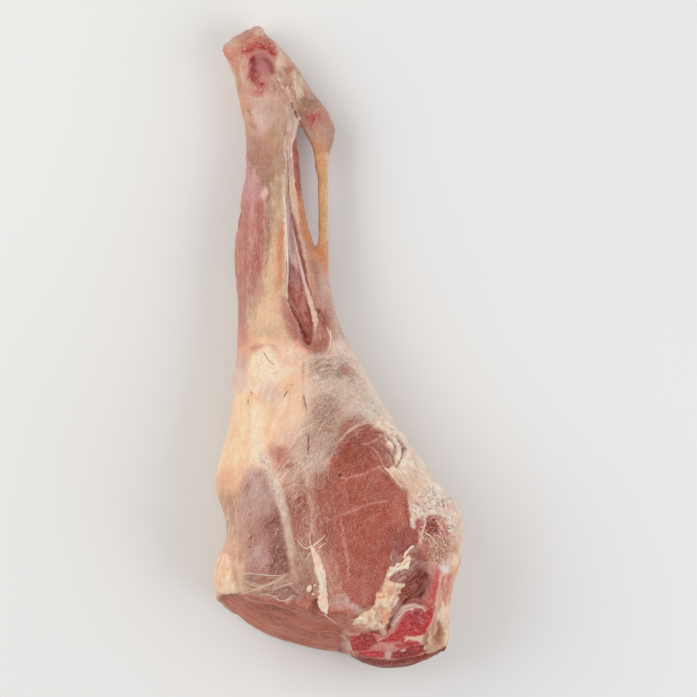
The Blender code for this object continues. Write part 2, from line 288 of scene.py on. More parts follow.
class Band:
    """A soft stripe along a smooth curve, whose width runs from start to end."""

    def __init__(self, points, width, end_width=None, soft=0.7):
        self.curve = curve_through(points)
        self.widths = (width, width if end_width is None else end_width)
        self.soft = soft
        reach = max(self.widths) / 2 + soft
        self.low = self.curve.min(axis=0) - reach
        self.high = self.curve.max(axis=0) + reach

    def share(self, x, y):
        distance, along = distance_to_curve(x, y, self.curve)
        half = 0.5 * (self.widths[0] + (self.widths[1] - self.widths[0]) * along)
        return ease((half + self.soft - distance) / (2 * self.soft))


class Patch:
    """The inside of a smooth closed outline, with a soft or a crisp edge."""

    def __init__(self, points, soft=1.0):
        outline = curve_through(points, closed=True)
        self.outline = np.vstack((outline, outline[:1]))
        self.soft = soft
        self.low = self.outline.min(axis=0) - soft
        self.high = self.outline.max(axis=0) + soft

    def depth(self, x, y):
        """How deep inside the outline a place lies, negative outside it."""
        distance, _ = distance_to_curve(x, y, self.outline)
        inside = np.zeros(len(x), dtype=bool)
        for (ax, ay), (bx, by) in zip(self.outline, self.outline[1:]):
            crosses = (ay > y) != (by > y)
            if ay != by:
                inside ^= crosses & (x < (bx - ax) * (y - ay) / (by - ay) + ax)
        return np.where(inside, distance, -distance)

    def share(self, x, y):
        return ease((self.depth(x, y) + self.soft) / (2 * self.soft))


# ---------------------------------------------------------------------------
# The canvas: what the painter knows about every vertex
# ---------------------------------------------------------------------------
class Canvas:
    """Colour, rise and nature of each vertex, painted layer by layer."""

    def __init__(self, places, facing, base):
        count = len(places)
        self.places = places
        self.facing = facing
        self.tint = np.tile(linear(base), (count, 1))
        self.rise = np.zeros(count)
        self.lean = np.zeros(count)
        self.spongy = np.zeros(count)
        self.fibrous = np.zeros(count)
        self.grain = np.full(count, 90.0)
        self.x = places[:, 0] + wander(places, 11)
        self.y = places[:, 1] + wander(places, 21)
        steep = ease((STEEP - facing[:, 2]) / STEEP)
        self.y += SIDE_SHIFT * steep * (noise(places, 16.0, 31, 2) + 0.5 * noise(places, 5.0, 33, 2))
        self.upper = ease((facing[:, 2] - UPPER_SIDE_NORMAL) / 0.25)

    def touched(self, shape):
        """The vertices a shape touches and its share of each."""
        near = (self.x > shape.low[0]) & (self.x < shape.high[0])
        near &= (self.y > shape.low[1]) & (self.y < shape.high[1])
        near = np.flatnonzero(near & (self.upper > 0))
        return near, shape.share(self.x[near], self.y[near]) * self.upper[near]

    def lay(self, shape, colour=None, strength=1.0, rise=0.0, broken=None, **nature):
        """Lay a shape on: its colour, rise and nature. broken = (size, amount, seed)."""
        near, share = self.touched(shape)
        if len(near) == 0:
            return
        if broken is not None:
            size, amount, seed = broken
            share = share * ease(0.5 + (noise(self.places[near], size, seed) + 1 - amount) * 1.5)
        if colour is not None:
            mix = (share * strength)[:, None]
            self.tint[near] += (linear(colour) - self.tint[near]) * mix
        self.rise[near] += rise * share
        for name, value in nature.items():
            kept = getattr(self, name)
            if name == "grain":
                kept[near[share > 0.5]] = value
            else:
                kept[near] += (value - kept[near]) * share

    def blob(self, centre, radii, colour=None, strength=1.0, turn=0, soft=0.5, **more):
        self.lay(Blob(centre, radii, turn, soft), colour, strength, **more)

    def blobs(self, *rows):
        """Blobs in turn: x, y, two radii, colour, strength, turn and softness of each."""
        for x, y, along, across, colour, strength, turn, soft in rows:
            self.blob((x, y), (along, across), colour, strength, turn, soft)

    def band(self, points, width, colour=None, strength=1.0, end_width=None, soft=0.7, **more):
        self.lay(Band(points, width, end_width, soft), colour, strength, **more)

    def patch(self, points, colour=None, strength=1.0, soft=1.0, **more):
        self.lay(Patch(points, soft), colour, strength, **more)

    def streaks(self, shape, angle, colour, strength, width=1.8, length=14.0, cover=0.5,
                seed=1, rise=0.0):
        """Short streaks along an angle, over a shape."""
        near, share = self.touched(shape)
        if len(near) == 0:
            return
        places = self.places[near]
        along, across = turned(places[:, 0], places[:, 1], angle)
        across = across + 1.2 * noise(places, 14.0, seed + 5, 2)
        rolled = np.column_stack((along / length, across / width, places[:, 2] / 6.0))
        lines = ease((noise(rolled, 1.0, seed, 3) - (0.5 - cover)) / 0.5)
        mix = share * lines
        self.tint[near] += (linear(colour) - self.tint[near]) * (mix * strength)[:, None]
        self.rise[near] += rise * mix


# ---------------------------------------------------------------------------
# Painting the upper side, region by region
# ---------------------------------------------------------------------------
def paint_ground(canvas):
    """The fat and thin skin that everything else lies on."""
    everywhere = Blob((0, 0), (400, 400))
    canvas.lay(everywhere, (220, 188, 164))
    canvas.streaks(everywhere, 80, (206, 168, 146), 0.5, width=6, length=40, seed=31)
    canvas.lay(everywhere, (240, 206, 176), 0.3, broken=(20, 1.0, 33))


def paint_hock(canvas):
    """The cut end of the hock: thin skin and gristle round the bared joint."""
    canvas.patch(
        "-81.5,208.5 -76,215.5 -67.5,222.5 -56,227 -45.5,221 -26,200 0.5,162.5 -2.5,148.5 -26,158 "
        "-61,133 -68,166.5 -75,194.5", (204, 158, 140), soft=2, fibrous=0.25, grain=-65)
    canvas.band("-75,204.5 -71,190.5 -67.5,176.5", 9, (208, 160, 140), 0.9, soft=3)
    canvas.band("-78,212 -71,217.5 -62,220.5", 3.2, (208, 164, 164), 0.9, rise=0.4)
    canvas.blob((-71.5, 214), (4.2, 1.8), (220, 186, 146), 0.85, turn=35, broken=(2, 0.7, 40))
    canvas.band("-78.5,209.5 -75,203.5 -71.5,198 -69,190.5", 1.8, (206, 128, 98), 0.75, soft=1.6)
    canvas.band("-79.5,206 -76,200 -72.5,193 -69.5,185", 2.0, (226, 188, 168), 0.8, soft=1.0)
    canvas.streaks(
        Blob((-71, 193), (6, 18)), 100, (232, 194, 174), 0.6, width=1.0, length=6, seed=22, rise=0.2)
    canvas.blobs(
        (-69, 206.5, 4, 4.5, (202, 134, 120), 0.8, 0, 0.5),
        (-73, 200, 2.6, 7, (198, 124, 102), 0.65, 20, 0.9),
        (-68, 183.5, 3.4, 8, (192, 140, 120), 0.6, 15, 0.9))
    canvas.blob((-61, 217), (8, 3.6), (178, 96, 84), 0.8, soft=0.9, broken=(1.6, 0.5, 45))

    canvas.blob((-66, 194.5), (2.8, 8), (222, 180, 160), 0.7)
    canvas.band(
        "-48.5,218.5 -41,208.5 -31.5,197.5 -22.5,185 -12,172", 3.0, (216, 172, 154), 0.7,
        broken=(4, 0.7, 49))
    canvas.band(
        "-44.5,213 -41,204.5 -39.5,194.5 -40,189", 5.4, (232, 206, 180), 0.9, rise=0.4, soft=1.8)
    canvas.band("-47,215.5 -44.5,210 -43,204.5", 2.4, (206, 150, 134), 0.6, soft=1.4)
    canvas.patch(
        "-43,194.5 -37.5,197.5 -32.5,196 -29,189 -31.5,183.5 -38.5,183.5 -42,187.5", (176, 122, 100),
        0.85, soft=2.4, broken=(3, 0.5, 41))
    canvas.blob((-39.5, 201), (3.2, 4.0), (236, 202, 182), 0.7, soft=0.8)
    canvas.band("-38,194.5 -34,189 -30.5,182", 1.2, (226, 172, 150), 0.7, soft=0.8, rise=0.3)
    # Painted shadow: a small brown patch, also sunk a little.
    canvas.blob((-29, 190.5), (2.0, 3.4), (150, 100, 82), 0.8, turn=-20, rise=-0.5, soft=0.8)
    canvas.streaks(
        Blob((-44.5, 183.5), (9, 9)), -58, (172, 122, 104), 0.8, width=1.2, length=6, seed=42, rise=-0.4)
    canvas.streaks(
        Blob((-43, 185), (9, 10)), -58, (238, 208, 186), 0.75, width=1.0, length=6, seed=46, rise=0.4)
    canvas.band(
        "-30.5,192 -27,183.5 -25.5,175", 5.0, (226, 202, 176), 0.75, end_width=3, soft=1.4, rise=0.3)
    canvas.streaks(
        Blob((-27.5, 182), (4.5, 12), 12), -72, (244, 230, 208), 0.85, width=1.0, length=6, seed=50,
        rise=0.4)
    canvas.band("-33,187.5 -30.5,179 -28,171", 1.6, (168, 120, 102), 0.7, rise=-0.5)
    canvas.band(
        "-59.5,173 -55.5,175.5 -50,173.5 -43,175", 3.0, (240, 212, 190), 0.8, soft=1.2, rise=0.3,
        broken=(2.6, 0.6, 47))
    canvas.streaks(
        Blob((-45.5, 173.5), (14, 5)), 15, (240, 214, 194), 0.6, width=1.0, length=5, seed=48, rise=0.3)
    canvas.band(
        "-38.5,180.5 -36,177 -34,173", 1.4, (204, 104, 94), 0.8, soft=0.8, broken=(1.6, 0.5, 38))
    canvas.blob((-38, 173.5), (4, 4), (212, 140, 126), 0.6, soft=0.8)
    canvas.band(
        "-36,183.5 -34,178 -32.5,173 -30.5,168 -28,163 -27.5,160.5", 1.6, (236, 200, 180), 0.95,
        rise=1.0, soft=0.5, broken=(1.4, 0.6, 43))
    # Painted shade: two near-black slits, sunk deep, stand for the shade in the narrow gap beside the
    # heel tendon.
    canvas.band("-32,172 -31,168.5", 1.1, (44, 24, 20), 0.95, soft=0.5, rise=-2.5)
    canvas.band("-30,166.5 -28,162.5", 1.1, (38, 22, 18), 0.95, soft=0.5, rise=-2.5)
    canvas.band("-51.5,221 -43,213 -34.5,203 -26,189", 3.0, rise=1.1, soft=2.0)
    canvas.band("-71,185 -69,173.5 -66,161", 3.4, rise=1.3, soft=2.4)
    canvas.band("-73.5,218.5 -68,222 -62.5,223.5", 2.4, rise=0.8, soft=1.6)
    canvas.blob((-78.5, 208.5), (5, 5), rise=1.6)
    canvas.blob((-56, 224.5), (4, 4), rise=2.2)
    canvas.band("-66,224 -62.5,222.5", 4, rise=-1.0, soft=2)
    canvas.blob((-55, 221), (3.2, 2.4), (232, 202, 186), 0.85, rise=0.4, broken=(1.6, 0.7, 39))


def paint_hock_joint(canvas):
    """Red cancellous bone round the smooth hollow where the foot was taken off."""
    canvas.patch(
        "-68,209.5 -64.5,215 -60.5,217.5 -55.5,219 -50,217 -45.5,213.5 -43,206.5 -43.5,202.5 -48,205 "
        "-54,206.5 -60.5,205 -65.5,203.5", (206, 126, 110), 0.9, soft=1.8, rise=0.2, spongy=0.6)
    canvas.band(
        "-66,210 -61,210.5 -55.5,213 -50,213 -45,208", 6.0, (186, 84, 76), 0.85, soft=2.0,
        broken=(1.3, 0.8, 44), spongy=0.8)
    canvas.band("-65.5,208.5 -61,208.5", 2.2, (170, 50, 54), 0.75, soft=1.0, broken=(1.2, 0.7, 30))
    canvas.band(
        "-52.5,211.5 -48.5,210 -45.5,207", 2.6, (170, 48, 52), 0.75, soft=1.0, broken=(1.2, 0.7, 29))
    canvas.blob((-57, 216.5), (5.5, 2.4), (212, 146, 124), 0.7, broken=(1.4, 0.7, 36))
    canvas.streaks(
        Blob((-55, 214), (10, 5)), 90, (234, 184, 164), 0.6, width=0.8, length=1.2, cover=0.44, seed=28,
        rise=0.2)
    canvas.band(
        "-62,203.5 -59,206.5 -53.5,208 -48,206 -45,202.5", 1.2, (206, 156, 146), 0.85, soft=0.8,
        rise=0.3, spongy=0)
    # Painted shade of the hollow: darkest at its top edge and along its right rim, lighter towards its
    # lower middle, over the hollow's own mauve colour; the hollow is also sunk.
    canvas.blob((-53.5, 196.5), (8.6, 10.4), (160, 94, 94), 0.95, soft=0.5, rise=-1.0, spongy=0)
    canvas.blobs(
        (-52.5, 195.5, 4.8, 7.0, (184, 122, 120), 0.95, 0, 0.8),
        (-50.5, 187, 5.0, 5.0, (198, 148, 132), 0.9, 0, 0.9))
    canvas.band("-50.5,203 -47,199.5 -45.5,194", 2.6, (144, 76, 80), 0.8, soft=1.6)
    canvas.band(
        "-59,203.5 -62,198 -60.5,192 -57,186", 3.0, (160, 58, 60), 0.9, soft=1.2,
        broken=(1.6, 0.85, 45), spongy=0.5)
    canvas.blob((-59, 190.5), (3.6, 4.6), (146, 36, 42), 0.9, broken=(1.3, 0.85, 46), spongy=0.5)
    canvas.blob((-59.5, 199.5), (2.6, 5.0), (140, 56, 60), 0.7, broken=(1.3, 0.6, 27))
    canvas.blob((-64, 197.5), (2.4, 6), (208, 158, 146), 0.8)
    canvas.blob((-54, 182), (5.0, 4.4), (190, 104, 100), 0.9, soft=0.8, spongy=0.8, broken=(2.0, 0.6, 37))
    canvas.band("-57,187 -54,185 -51.5,185.5", 1.6, (150, 44, 48), 0.8, soft=0.6, broken=(1.3, 0.8, 35))
    canvas.blob((-55.5, 178.5), (4, 2.5), (206, 122, 114), 0.7)


def paint_heel(canvas):
    """The heel bone's cover and the free heel tendon."""
    canvas.patch(
        "-26,175 -17.5,179 -8,171 0.5,158 -1,144 -6.5,134.5 -19,137 -24.5,151 -27.5,164",
        (184, 140, 122), soft=2.0)
    canvas.blobs(
        (-20.5, 171, 7.5, 7.0, (152, 114, 94), 0.9, 30, 0.9),
        (-24, 164, 3.4, 6, (170, 132, 110), 0.8, 0, 0.9))
    canvas.band("-20.5,178 -13.5,174.5 -8,168 -3,158", 3.0, (210, 166, 150), 0.7, soft=2.0)
    canvas.blobs(
        (-9.5, 164, 6.5, 5.0, (206, 146, 136), 0.8, -30, 0.8),
        (-15, 151, 9, 9, (196, 158, 142), 0.7, 0, 0.9))
    canvas.blob((-16.5, 160.5), (6.0, 5.4), (176, 96, 88), 0.75, broken=(2.4, 0.5, 26), soft=0.9)
    canvas.blob((-17.5, 161.5), (2.4, 2.2), (160, 44, 52), 0.95, broken=(1.5, 0.5, 51))
    canvas.band("-17,161.5 -20,162.5 -22,161.5", 1.4, (178, 66, 68), 0.85, soft=0.4)
    canvas.band("-17,161.5 -17.5,158 -18.5,154.5", 1.4, (172, 62, 64), 0.85, end_width=0.8, soft=0.4)
    canvas.band("-17,161.5 -14,164.5 -11.5,164", 1.4, (188, 86, 86), 0.8, end_width=0.8, soft=0.4)
    canvas.band("-2.5,161 -1,154 -3,143", 1.8, (206, 172, 160), 0.8)
    canvas.band("-13.5,172 -6.5,165 -2.5,155.5 -3,145.5", 3.0, rise=1.0, soft=2.0)
    canvas.band("-24.5,159.5 -20,150 -15.5,137 -14,124.5", 2.4, rise=0.8, soft=1.6)
    canvas.band("-13,141.5 -12,134.5 -11.5,123", 11, (206, 150, 116), 0.9, end_width=8, soft=4)
    canvas.band(
        "-11.5,131.5 -10.5,114 -10,89.5 -10,60", 9, (212, 166, 120), 0.9, soft=2.0, lean=0.25, grain=90)
    # The tendon is painted a little darker along its left edge, painted shade, and paler along its right
    # edge, a painted highlight.
    canvas.band("-14,131.5 -13.5,110.5 -13,82.5", 1.6, (192, 142, 104), 0.7, soft=1.0)
    canvas.band("-7,137 -7,110.5 -7,75.5", 1.6, (232, 198, 158), 0.8, soft=0.8)
    canvas.band("-10.5,71.5 -10,60 -9.5,47.5", 3.6, (210, 136, 98), 0.75, end_width=2, soft=1.4)


def paint_sheath(canvas):
    """The grey sheath over the lower shank, which ends in a free edge."""
    canvas.patch(
        "-68,175 -59.5,172 -43.5,173.5 -33,168 -27.5,161 -28,154 -31.5,138.5 -33,110.5 -39.5,95 "
        "-48.5,109 -53.5,117.5 -57,124.5 -62,133 -65.5,152.5", (190, 148, 128), soft=0.9, fibrous=0.15,
        grain=92)
    canvas.band("-69.5,174.5 -57,173.5 -44.5,173.5 -33,169.5", 8, (212, 172, 154), 0.9, soft=4)
    canvas.streaks(
        Blob((-45.5, 138.5), (16, 40)), 92, (214, 178, 158), 0.5, width=1.2, length=12, seed=52)
    canvas.blobs(
        (-55, 162.5, 7.5, 11, (216, 184, 174), 0.95, -6, 0.7),
        (-44.5, 165, 7, 7, (206, 172, 154), 0.8, 0, 0.7),
        (-43.5, 147.5, 4.6, 7, (186, 150, 116), 0.8, -10, 0.8),
        (-58.5, 142, 6, 6, (184, 136, 128), 0.85, -20, 0.8),
        (-52.5, 130, 8, 9, (184, 138, 120), 0.8, 0, 0.8),
        (-42, 124.5, 5, 10, (186, 150, 124), 0.8, 0, 0.8),
        (-48.5, 117.5, 4.4, 9, (168, 126, 104), 0.8, 8, 0.9),
        (-39.5, 108, 2.6, 10, (224, 198, 168), 0.8, 0, 0.8))
    canvas.band(
        "-66.5,174.5 -64,166.5 -60.5,159", 4.0, (216, 162, 120), 0.8, end_width=2, soft=2.2,
        broken=(3, 0.4, 21))
    canvas.band("-63,167.5 -61,163", 1.2, (140, 92, 66), 0.7, soft=0.5)
    canvas.blobs(
        (-59, 155.5, 3, 2, (184, 136, 98), 0.7, -40, 0.5),
        (-64, 154.5, 2.6, 9, (204, 158, 136), 0.7, -8, 0.5))
    canvas.band(
        "-34.5,168 -33,152.5 -34,138.5 -34.5,117.5", 4.4, (222, 190, 172), 0.75, rise=0.2, soft=1.8)
    canvas.band("-30.5,159.5 -31,145.5 -33,131.5", 2.6, (196, 146, 130), 0.7, soft=1.2)
    canvas.streaks(
        Blob((-33, 145.5), (5, 24)), 88, (244, 220, 204), 0.8, width=0.8, length=6, cover=0.50, seed=53,
        rise=0.4)
    canvas.streaks(
        Blob((-34, 145.5), (5, 24)), 88, (170, 118, 102), 0.6, width=0.8, length=6, cover=0.42, seed=56,
        rise=-0.4)
    canvas.blob((-31, 158), (3, 6), (232, 206, 192), 0.8, turn=-15, soft=0.9)
    canvas.band(
        "-28,161.5 -29,157 -30.5,150.5 -32.5,143 -33,134.5", 3.0, (250, 230, 214), 0.95, end_width=1.4,
        rise=0.7, soft=0.8, broken=(2.0, 0.5, 34))
    canvas.band(
        "-62.5,134.5 -59.5,128 -56,122.5 -52.5,117 -48.5,111.5", 1.0, (214, 176, 158), 0.8, rise=0.9,
        soft=0.5)
    canvas.band(
        "-64,131.5 -61,126 -57.5,120.5 -54,115 -50.5,109", 1.6, (156, 108, 106), 0.5, rise=-0.7,
        soft=0.9)
    canvas.patch(
        "-52,115 -48.5,115 -48,110.5 -49,105.5 -51.5,104.5 -52,107 -50,110.5", (238, 216, 196), 0.9,
        soft=0.6, rise=0.8)


def paint_shin_muscle(canvas):
    """The dark pink muscle along the front of the shank."""
    muscle = Patch(
        "-66,137 -62,131.5 -58.5,124.5 -53.5,117 -50,109 -48.5,93 -50,72 -51.5,51 -54,38 -59.5,25 "
        "-64,12.5 -73.5,-1.5 -78,40.5 -78,82.5 -73.5,110.5", 1.4)
    canvas.lay(muscle, (190, 126, 114), rise=0.8, lean=0.3, grain=91)
    canvas.band("-67.5,82.5 -68,60 -66,36.5", 6, (200, 144, 132), 0.8, soft=3)
    canvas.patch(
        "-65.5,135 -61,129.5 -57,121 -52.5,113.5 -52.5,105 -59.5,101 -69.5,102 -68,117.5",
        (202, 152, 152), 0.85, soft=9)
    canvas.band("-57.5,126 -58.5,110.5 -59,95", 2.0, (222, 178, 174), 0.7, soft=1.4)
    canvas.band("-59.5,94 -61,75.5 -61,47.5 -62,26.5", 2.6, (210, 156, 146), 0.65, soft=2.0)
    canvas.band("-55,100 -55,75.5 -57,44", 4.5, (172, 102, 94), 0.7, soft=2.4)
    canvas.band("-63,78.5 -63,60 -62.5,43.5", 3.0, (176, 110, 100), 0.6, soft=2.4)
    canvas.blob((-62.5, 21), (8, 20), (188, 140, 126), 0.85, soft=0.8)
    canvas.patch(
        "-64,136 -61,130 -57.5,123 -54,115.5 -52.5,109 -57.5,106.5 -62.5,110.5 -65.5,123",
        (204, 154, 156), 0.8, soft=1.4)
    canvas.band("-64,135 -60.5,128 -57,121 -52.5,112.5", 0.7, (226, 196, 188), 0.8, soft=0.5, rise=0.4)
    canvas.band(
        "-62.5,136 -59,129 -55.5,122 -51.5,113.5", 1.6, (158, 112, 98), 0.7, soft=1.0, rise=-0.3)
    canvas.streaks(muscle, 91, (220, 172, 162), 0.35, width=0.9, length=12, seed=54)
    canvas.streaks(muscle, 91, (156, 88, 80), 0.3, width=1.0, length=14, cover=0.42, seed=57)
    canvas.band("-69.5,98 -67.5,91.5 -69.5,84.5", 3.0, (168, 100, 88), 0.7, rise=-1.4, soft=1.0)
    canvas.band(
        "-48.5,109 -48,93 -49,72 -50.5,51 -53.5,38.5", 1.0, (164, 108, 96), 0.6, rise=-0.6, soft=0.7)


def paint_shin_sinew(canvas):
    """The long sinew beside the shin, white above and cream towards the knee."""
    canvas.band(
        "-43.5,115 -43.5,93 -44.5,72 -45,54.5", 9, (192, 160, 130), 0.95, soft=1.6, rise=0.3,
        fibrous=0.2, grain=91)
    canvas.band("-42,106.5 -42,93 -42,81", 6, (198, 168, 136), 0.7, soft=2.5)
    canvas.band("-47,103.5 -47,88 -48.5,68.5", 3.4, (172, 124, 102), 0.8, soft=2.0)
    canvas.band(
        "-44.5,78.5 -45,54.5 -47,33.5 -50,12.5", 6, (228, 188, 154), 0.95, end_width=24, soft=4,
        fibrous=0.1)
    canvas.streaks(Blob((-43.5, 65), (9, 60)), 91, (244, 218, 192), 0.55, width=0.9, length=11, seed=58)
    canvas.streaks(
        Blob((-44.5, 89.5), (7, 50)), 91, (166, 130, 104), 0.4, width=0.9, length=10, cover=0.42,
        seed=59)
    canvas.band("-47,106.5 -46.5,82.5 -48,54.5", 1.0, (224, 190, 162), 0.4, soft=0.6)
    canvas.band(
        "-50.5,122 -49,112 -48,99.5 -48,81 -49,60", 3.6, (168, 122, 102), 0.75, end_width=2.0, soft=2.0)
    canvas.blob((-48.5, 117.5), (4, 9), (164, 122, 102), 0.7, soft=0.9)
    canvas.blob((-50.5, 108), (1.8, 4), (238, 206, 190), 0.9, turn=-10, soft=0.6, rise=0.8)
    canvas.blob((-55, 133.5), (7, 9), (168, 122, 106), 0.7, soft=0.9)
    canvas.band("-38.5,87 -39,72 -40,60 -41,43.5", 3.2, (204, 128, 92), 0.9, soft=3.4)
    canvas.blobs(
        (-41.5, 54.5, 2.8, 18, (220, 150, 110), 0.6, 0, 0.9),
        (-39.5, 25, 3, 10, (228, 178, 150), 0.7, 0, 0.8))
    canvas.band("-37.5,120.5 -37.5,106.5 -36.5,89.5", 1.6, (226, 206, 184), 0.85, rise=0.4, soft=1.0)
    canvas.band(
        "-36.5,91 -36,72 -35,54.5 -34.5,35", 1.5, (242, 226, 212), 0.95, rise=0.8, soft=0.5,
        broken=(5, 0.35, 33))
    canvas.patch(
        "-59.5,25 -52.5,36.5 -38.5,36.5 -34.5,25 -29,8.5 -24.5,1.5 -37.5,-3 -52.5,0 -64,-3 -65.5,9",
        (222, 182, 150), 0.9, soft=3.5, fibrous=0.15)
    canvas.blob((-48.5, 25), (10, 10), (234, 196, 160), 0.8, soft=0.8)
    canvas.band("-52.5,43.5 -56,33.5 -60.5,24", 5.0, (196, 150, 132), 0.7, soft=3.0)
    canvas.blob((-45.5, 10), (9, 6), (216, 182, 152), 0.7, soft=0.8)


def paint_calf_strips(canvas):
    """The narrow strips of sinew and muscle between the shin and the heel tendon."""
    canvas.patch(
        "-29,154 -28,157 -27,138.5 -25.5,121 -22.5,101.5 -26,100 -29.5,112 -31.5,130 -30.5,144",
        (184, 116, 106), soft=0.7, lean=0.5, grain=92)
    canvas.band("-32.5,138.5 -31.5,121 -29,103.5", 1.5, (226, 192, 176), 0.85, soft=0.5, rise=0.5)
    canvas.band("-29,138.5 -28,121 -25.5,105", 1.2, (166, 84, 80), 0.6, soft=0.7)
    canvas.patch(
        "-33,120.5 -31,120.5 -29,107 -27,93 -27,78.5 -29,84 -31.5,95 -34,107", (228, 192, 164), 0.95,
        soft=0.5, rise=0.8)
    canvas.patch(
        "-27,110.5 -23.5,106.5 -20,89.5 -12,68.5 -9.5,60 -17.5,60 -22.5,73 -26,85.5", (212, 148, 108),
        0.95, soft=1.2)
    canvas.band("-24.5,105 -22,89.5 -16.5,71.5", 1.3, (216, 164, 130), 0.7, soft=0.7)
    canvas.patch(
        "-35,103.5 -32.5,98 -28,82.5 -24,67 -20.5,46 -23.5,45 -29,50.5 -34.5,53 -35,75.5",
        (182, 134, 132), 0.95, soft=1.4, rise=-0.7)
    canvas.band("-28,138.5 -26,110.5 -22.5,91 -18.5,77", 2.4, rise=1.4, soft=1.8)
    canvas.band("-34.5,100 -34,82.5 -33,65", 2.0, (214, 186, 184), 0.85, soft=0.8)
    canvas.band("-33,60 -34,56 -33,52", 1.8, (222, 196, 190), 0.7, soft=1.0, rise=0.3)
    canvas.blob((-31, 59), (2.8, 8), (232, 202, 194), 0.8, turn=-12, soft=0.9)
    canvas.band(
        "-32.5,96 -29.5,86 -27,75 -24,62.5 -21,47 -18.5,32", 0.6, (158, 88, 78), 0.95, end_width=4.2,
        soft=1.2, rise=-0.9)
    canvas.band("-35,138.5 -34.5,124.5 -34,109 -32.5,98", 0.7, (146, 98, 84), 0.8, soft=0.4, rise=-0.5)
    canvas.patch(
        "-22.5,75.5 -16.5,70 -9.5,60 -7,44 -10,33.5 -15.5,32 -18.5,44 -21,60", (194, 146, 120), 0.95,
        soft=1.2, lean=0.3, grain=104)
    canvas.streaks(Blob((-16.5, 53), (6, 18)), 104, (216, 180, 160), 0.6, width=1.1, length=9, seed=61)
    canvas.blob((-15, 66), (2.6, 5), (226, 166, 126), 0.8, turn=-20, soft=0.9)
    canvas.band("-13,68.5 -10,59 -7,47.5 -6,39", 3.4, (220, 144, 104), 0.85, soft=1.8)
    canvas.patch(
        "-13.5,47.5 -6.5,50.5 0.5,26.5 9,-3 2,-7 -2.5,9 -6,25 -12,33.5", (210, 174, 158), 0.9, soft=2.6,
        fibrous=0.4, grain=108)
    canvas.band("-10.5,60 -8,44 -3.5,30 0.5,16", 3.0, (216, 172, 156), 0.7, soft=1.6)
    canvas.band("-16.5,60 -14,47.5 -12,35", 3.0, (176, 128, 112), 0.7, soft=1.6)
    canvas.streaks(
        Blob((-3.5, 16), (6, 22), 18), 108, (232, 206, 190), 0.6, width=1.2, length=10, seed=64,
        rise=0.2)
    canvas.band("-3,33.5 2,18 8,1.5", 2.6, (212, 186, 182), 0.7, soft=1.2)


def paint_pocket(canvas):
    """The deep pocket between the calf's two heads, which opens above the knee."""
    canvas.patch(
        "-39.5,35 -35,33.5 -31,24 -27,15.5 -22,5.5 -24,1.5 -30.5,4 -35,12.5 -38.5,24", (192, 128, 116),
        0.95, soft=2.4, lean=0.5, grain=116, rise=0.4)
    canvas.patch(
        "-34.5,59 -29,56 -24.5,46 -21,35 -17.5,24 -16.5,12.5 -18.5,3 -23.5,8.5 -27.5,18 -32.5,29.5 "
        "-34.5,40.5", (166, 92, 82), soft=1.2, rise=-2.0, lean=0.8, grain=112)
    canvas.patch(
        "-34.5,63 -30.5,60 -25.5,47.5 -27.5,40.5 -32.5,45 -35,53", (182, 128, 124), 0.85, soft=2.4)
    canvas.blob((-22.5, 34.5), (2.4, 7), (206, 154, 134), 0.7, turn=-15, soft=0.9)
    canvas.streaks(
        Blob((-27.5, 30), (8, 26), 20), 112, (206, 142, 126), 0.6, width=0.8, length=7, seed=66,
        rise=0.3)
    canvas.streaks(
        Blob((-30.5, 19.5), (6, 20), 25), 116, (222, 172, 158), 0.4, width=0.8, length=6, seed=67,
        rise=0.2)
    canvas.blob((-31, 15.5), (3.6, 9), (168, 106, 94), 0.6, turn=25, soft=0.9)
    canvas.patch(
        "-16.5,32 -9.5,35 -4.5,24 -3,10 -6,0 -13.5,-1.5 -17.5,2 -16.5,11 -15,19.5", (172, 102, 90),
        0.95, soft=4.5, rise=-1.2, lean=0.6, grain=100)
    canvas.blobs(
        (-11.5, 31.5, 5, 5, (206, 160, 144), 0.85, 0, 0.9),
        (-8.5, 18, 2.4, 6, (156, 88, 78), 0.6, 0, 0.9),
        (-13.5, 15.5, 2.4, 9, (206, 154, 138), 0.7, 0, 0.9))
    canvas.streaks(
        Blob((-10.5, 12.5), (6, 16)), 98, (212, 156, 142), 0.6, width=0.8, length=5, seed=68, rise=0.3)
    canvas.patch(
        "-23.5,14 -20,13.5 -17.5,8.5 -18.5,2 -22,3 -24,7", (142, 66, 58), 0.85, soft=2.6, rise=-1.0)
    canvas.band("-18.5,19.5 -18.5,11 -20,4", 2.2, (180, 92, 82), 0.7, soft=1.4)
    # Painted shade: the dark line of the slit down the pocket, also sunk a little.
    canvas.band(
        "-34,33.5 -30.5,27.5 -27,21 -23.5,14.5 -20.5,9", 0.7, (126, 60, 54), 0.9, end_width=1.4,
        soft=0.6, rise=-0.7)
    canvas.band("-36.5,33.5 -33,25 -28,17 -23.5,7", 0.9, (218, 168, 152), 0.5, soft=0.8, rise=0.3)
    canvas.band("-25.5,32 -24,26.5 -22,21", 1.2, (212, 156, 128), 0.7, soft=0.6, broken=(1.5, 0.8, 69))
    canvas.blob((-13, 26), (2.0, 1.6), (120, 56, 50), 0.85, rise=-0.6)
    # Painted shadow: a dark line along the pocket's lower edge, where shade falls above the rim; it is
    # also sunk a little.
    canvas.band("-22.5,2 -18.5,-1.5 -13,-2 -6.5,0", 1.2, (140, 76, 66), 0.6, soft=1.2, rise=-0.5)
    canvas.band("-29.5,3.5 -27,3 -23.5,-0.5 -18.5,-3.5", 3.0, (230, 146, 126), 0.8, soft=2.0, rise=0.6)
    canvas.band(
        "-18.5,-4 -12,-4 -6,-3.5", 2.4, (210, 164, 146), 0.7, soft=2.4, rise=0.2, broken=(3, 0.6, 65))
    canvas.band(
        "-6,14 -4.5,8.5 -4.5,4 -5,-0.5", 1.2, (244, 222, 206), 0.8, soft=0.7, rise=0.4,
        broken=(2.5, 0.5, 25))
    canvas.streaks(
        Band("-29,4 -23.5,0.5 -17.5,-3 -6.5,-2", 6), 30, (206, 120, 106), 0.6, width=1.0, length=4,
        cover=0.44, seed=24, rise=0.3)


